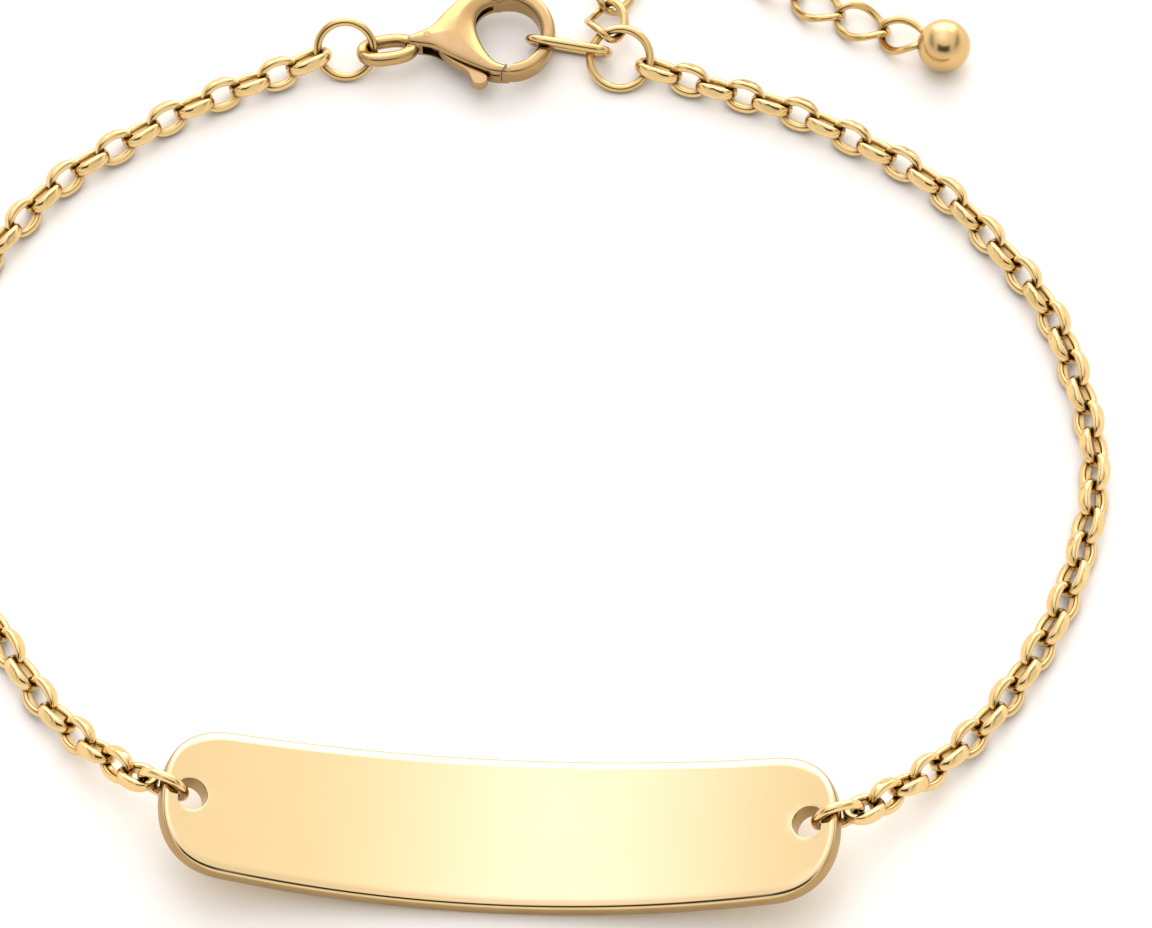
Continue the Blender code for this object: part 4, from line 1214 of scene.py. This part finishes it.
def cast(obj, grain):
    """Give an object the soft edges and blended joints of a cast, tumbled part."""
    remesh(obj, grain)
    soften = obj.modifiers.new("softening", "SMOOTH")
    soften.factor = CAST_SOFTNESS
    soften.iterations = CAST_SOFTENING
    apply_all(obj)


def polish_casting(obj):
    """Smooth faces, with the edges of the cuts left crisp."""
    apply_all(obj)
    obj.data.shade_smooth()
    obj.data.set_sharp_from_angle(angle=CAST_SHARP_ANGLE)


def build_clasp():
    place = clasp_place()
    pivot = place @ Matrix.Translation((PIVOT_PLACE[0], PIVOT_PLACE[1], 0.0))
    body = clasp_slab(place)
    body.name = "clasp_body_casting"
    join(body, "hook_sweep", clasp_hook(), place)
    join(body, "tail_ring", clasp_tail(), place)
    cast(body, CLASP_GRAIN)
    gate = new_object("gate_end", body.data.copy())
    low, high = build_clasp_body(body, place, pivot)
    build_lever(gate, place, pivot)
    build_rivet(pivot, low, high)


def build_clasp_body(body, place, pivot):
    """Cut the casting for lever, gate and rivet, and give the rivet's two ends."""
    cut(body, "gate_space", sector(GATE_START, GATE_END + GATE_SEAM), place)
    cut(body, "lever_slot", lever_slot(), place)
    cut(body, "root_slot",
        extrude_outline(in_mm(ROOT_SLOT), -ROOT_SLOT_HALF, ROOT_SLOT_HALF), place)
    cut(body, "hook_wedge",
        extrude_outline(in_mm(HOOK_WEDGE), -CLASP_DEPTH, CLASP_DEPTH), place)
    cut(body, "body_groove", gate_groove(), place)
    low, high = rivet_reach(body, pivot)
    cut(body, "rivet_hole",
        upright_rod(RIVET_RADIUS + RIVET_SINK / 2, -CLASP_DEPTH, CLASP_DEPTH), pivot)
    polish_casting(body)
    stand_in(body, "clasp_body", "anklet")
    return low, high


def build_lever(gate, place, pivot):
    """The lever, with the end of the gate that turns with it."""
    combine(gate, "INTERSECT",
            clasp_shape("gate_trim", sector(GATE_START + GATE_ROOT_SEAM, GATE_END), place))
    cut(gate, "groove", gate_groove(), place)
    apply_all(gate)
    outline = in_mm(smooth_run(LEVER_OUTLINE, LEVER_OUTLINE_STEPS))
    outline += arc_points(PIVOT_PLACE, LEVER_BOSS_RADIUS, LEVER_BOSS_FROM, LEVER_BOSS_TO, 30)
    half = LEVER_THICKNESS / 2
    lever = clasp_shape("clasp_lever_casting", extrude_outline(outline, -half, half), place)
    cast(lever, LEVER_GRAIN)
    combine(lever, "UNION", gate)
    cut(lever, "lever_hole",
        upright_rod(RIVET_RADIUS + PIVOT_GAP, -CLASP_DEPTH, CLASP_DEPTH), pivot)
    polish_casting(lever)
    stand_in(lever, "clasp_lever", "lever")


def build_rivet(pivot, low, high):
    """The rivet, polished down just below the casting, with its rims eased."""
    bm = upright_rod(RIVET_RADIUS, low + RIVET_SINK, high - RIVET_SINK)
    rims = [edge for edge in bm.edges
            if abs(edge.verts[0].co.z - edge.verts[1].co.z) < high]
    bmesh.ops.bevel(bm, geom=rims, offset=RIVET_SINK, segments=2, affect="EDGES",
                    clamp_overlap=True)
    rivet = add_piece("clasp_rivet", bm, CLASP_GOLD, pivot)
    stand_in(rivet, "clasp_pivot", "anklet")


# Studio


def build_table():
    bm = bmesh.new()
    bmesh.ops.create_grid(bm, x_segments=TABLE_CELLS, y_segments=TABLE_CELLS,
                          size=TABLE_HALF)
    mesh = bpy.data.meshes.new("table_top")
    bm.to_mesh(mesh)
    bm.free()
    mesh.materials.append(table_paper())
    table = new_object("table_top", mesh)
    table.location = (0.0, 0.0, plate_low.z - TABLE_GAP)


def table_paper():
    paper = bpy.data.materials.new("table_paper")
    nodes = Nodes(paper)
    place = nodes.node("ShaderNodeTexCoord", output="Object")
    tint = nodes.mix(nodes.noise(place, PAPER_TOOTH, 3.0, 0.6), *TABLE_TINTS)
    shader = nodes.node("ShaderNodeBsdfPrincipled", None,
                        {"Base Color": tint, "Roughness": 0.85, "Specular IOR Level": 0.2})
    nodes.node("ShaderNodeOutputMaterial", None, {"Surface": shader})
    return paper


def build_lamp():
    """A lit panel that faces the anklet and isn't mirrored in it."""
    back = Vector((math.sin(LAMP_AZIMUTH) * math.cos(LAMP_ELEVATION),
                   math.cos(LAMP_AZIMUTH) * math.cos(LAMP_ELEVATION),
                   math.sin(LAMP_ELEVATION)))
    light = bpy.data.lights.new("top_softbox", "AREA")
    light.shape = "RECTANGLE"
    light.size = LAMP_WIDTH
    light.size_y = LAMP_HEIGHT
    light.energy = LAMP_RADIANCE * math.pi * LAMP_WIDTH * LAMP_HEIGHT
    light.color = LAMP_COLOUR
    lamp = new_object("top_softbox", light)
    lamp.location = PLATE_MIDDLE + Vector((0.0, LAMP_AIM, 0.0)) + back * LAMP_DISTANCE
    lamp.rotation_euler = back.to_track_quat("Z", "Y").to_euler()
    lamp.visible_glossy = False


def build_studio():
    """Walls that are light above and behind, with a glow, grey bands and a dark part."""
    world = bpy.data.worlds.new("studio_surroundings")
    bpy.context.scene.world = world
    nodes = Nodes(world)
    direction = nodes.node("ShaderNodeTexCoord", output="Generated")
    sideways = nodes.node("ShaderNodeSeparateXYZ", None, {"Vector": direction})
    parts = sideways.socket.node.outputs
    away = Signal(nodes, parts["Y"])
    up = Signal(nodes, parts["Z"])
    between = nodes.between

    overhead = between(*OVERHEAD_UP, up)
    far_side = between(*FAR_SIDE_AWAY, away)
    haze = 1 - between(*HAZE_UP, up)
    glow = (between(*GLOW_UP, up) * between(*GLOW_AWAY, away)
            * (1 - between(*GLOW_REACH, abs(sideways + GLOW_SIDE))))
    far_light = (between(*FAR_LIGHT_SLOPE, away / up.most(LEAST_UP))
                 * between(*FAR_LIGHT_UP, up)
                 * (1 - between(*FAR_LIGHT_SPREAD, sideways * sideways)))
    bands = (between(*BAND_SPREAD, sideways * sideways)
             * nodes.band(BAND_BOTTOM, BAND_TOP, up))
    near_dark = (between(*NEAR_TOWARDS, away * -1.0)
                 * nodes.band(NEAR_BOTTOM, NEAR_TOP, up)
                 * nodes.band(NEAR_LEFT, NEAR_RIGHT, sideways))

    walls = (WALL_LIGHT + overhead * OVERHEAD_LIGHT + far_side * FAR_SIDE_LIGHT
             + glow * GLOW_LIGHT + far_light * FAR_LIGHT + haze * HAZE_LIGHT)
    level = (walls * (1 - bands * BAND_SHADE) * (1 - near_dark * NEAR_SHADE)
             * STUDIO_LEVEL)
    colour = nodes.mix(glow, WALL_COLOUR, GLOW_COLOUR)
    background = nodes.node("ShaderNodeBackground", None,
                            {"Color": colour, "Strength": level})
    nodes.node("ShaderNodeOutputWorld", None, {"Surface": background})


def build_camera():
    back = Vector((math.sin(VIEW_AZIMUTH) * math.cos(VIEW_ELEVATION),
                   -math.cos(VIEW_AZIMUTH) * math.cos(VIEW_ELEVATION),
                   math.sin(VIEW_ELEVATION)))
    lens = bpy.data.cameras.new("photo_camera")
    lens.sensor_fit = "HORIZONTAL"
    lens.sensor_width = SENSOR
    lens.lens = LENS
    lens.clip_start = NEAREST_SEEN
    lens.clip_end = FARTHEST_SEEN
    camera = new_object("photo_camera", lens)
    target = Vector((PLATE_MIDDLE.x + VIEW_TARGET[0], PLATE_MIDDLE.y + VIEW_TARGET[1], 0.0))
    camera.location = target + back * VIEW_DISTANCE
    camera.rotation_euler = (-back).to_track_quat("-Z", "Y").to_euler()
    bpy.context.scene.camera = camera


random.seed(CHAIN_SWAY_SEED)
build_plate()
build_plate_links()
build_chain("chain_right", CHAIN_RIGHT_ROUTE,
            ring_point(RING_RIGHT_PLACE, RING_DIAMETER_RIGHT, CHAIN_ANGLE_RIGHT),
            (CHAIN_ROLL - math.pi / 2, CHAIN_ROLL), RIGHT)
build_chain("chain_left", CHAIN_LEFT_ROUTE,
            ring_point(RING_LEFT_PLACE, RING_DIAMETER_LEFT, CHAIN_ANGLE_LEFT),
            (math.pi / 2 - CHAIN_ROLL, -CHAIN_ROLL), LEFT)
build_rings()
build_connector()
build_extender()
build_clasp()
build_table()
build_studio()
build_lamp()
build_camera()

view = bpy.context.scene.view_settings
view.view_transform = "Standard"
view.look = "None"
view.exposure = 0.0
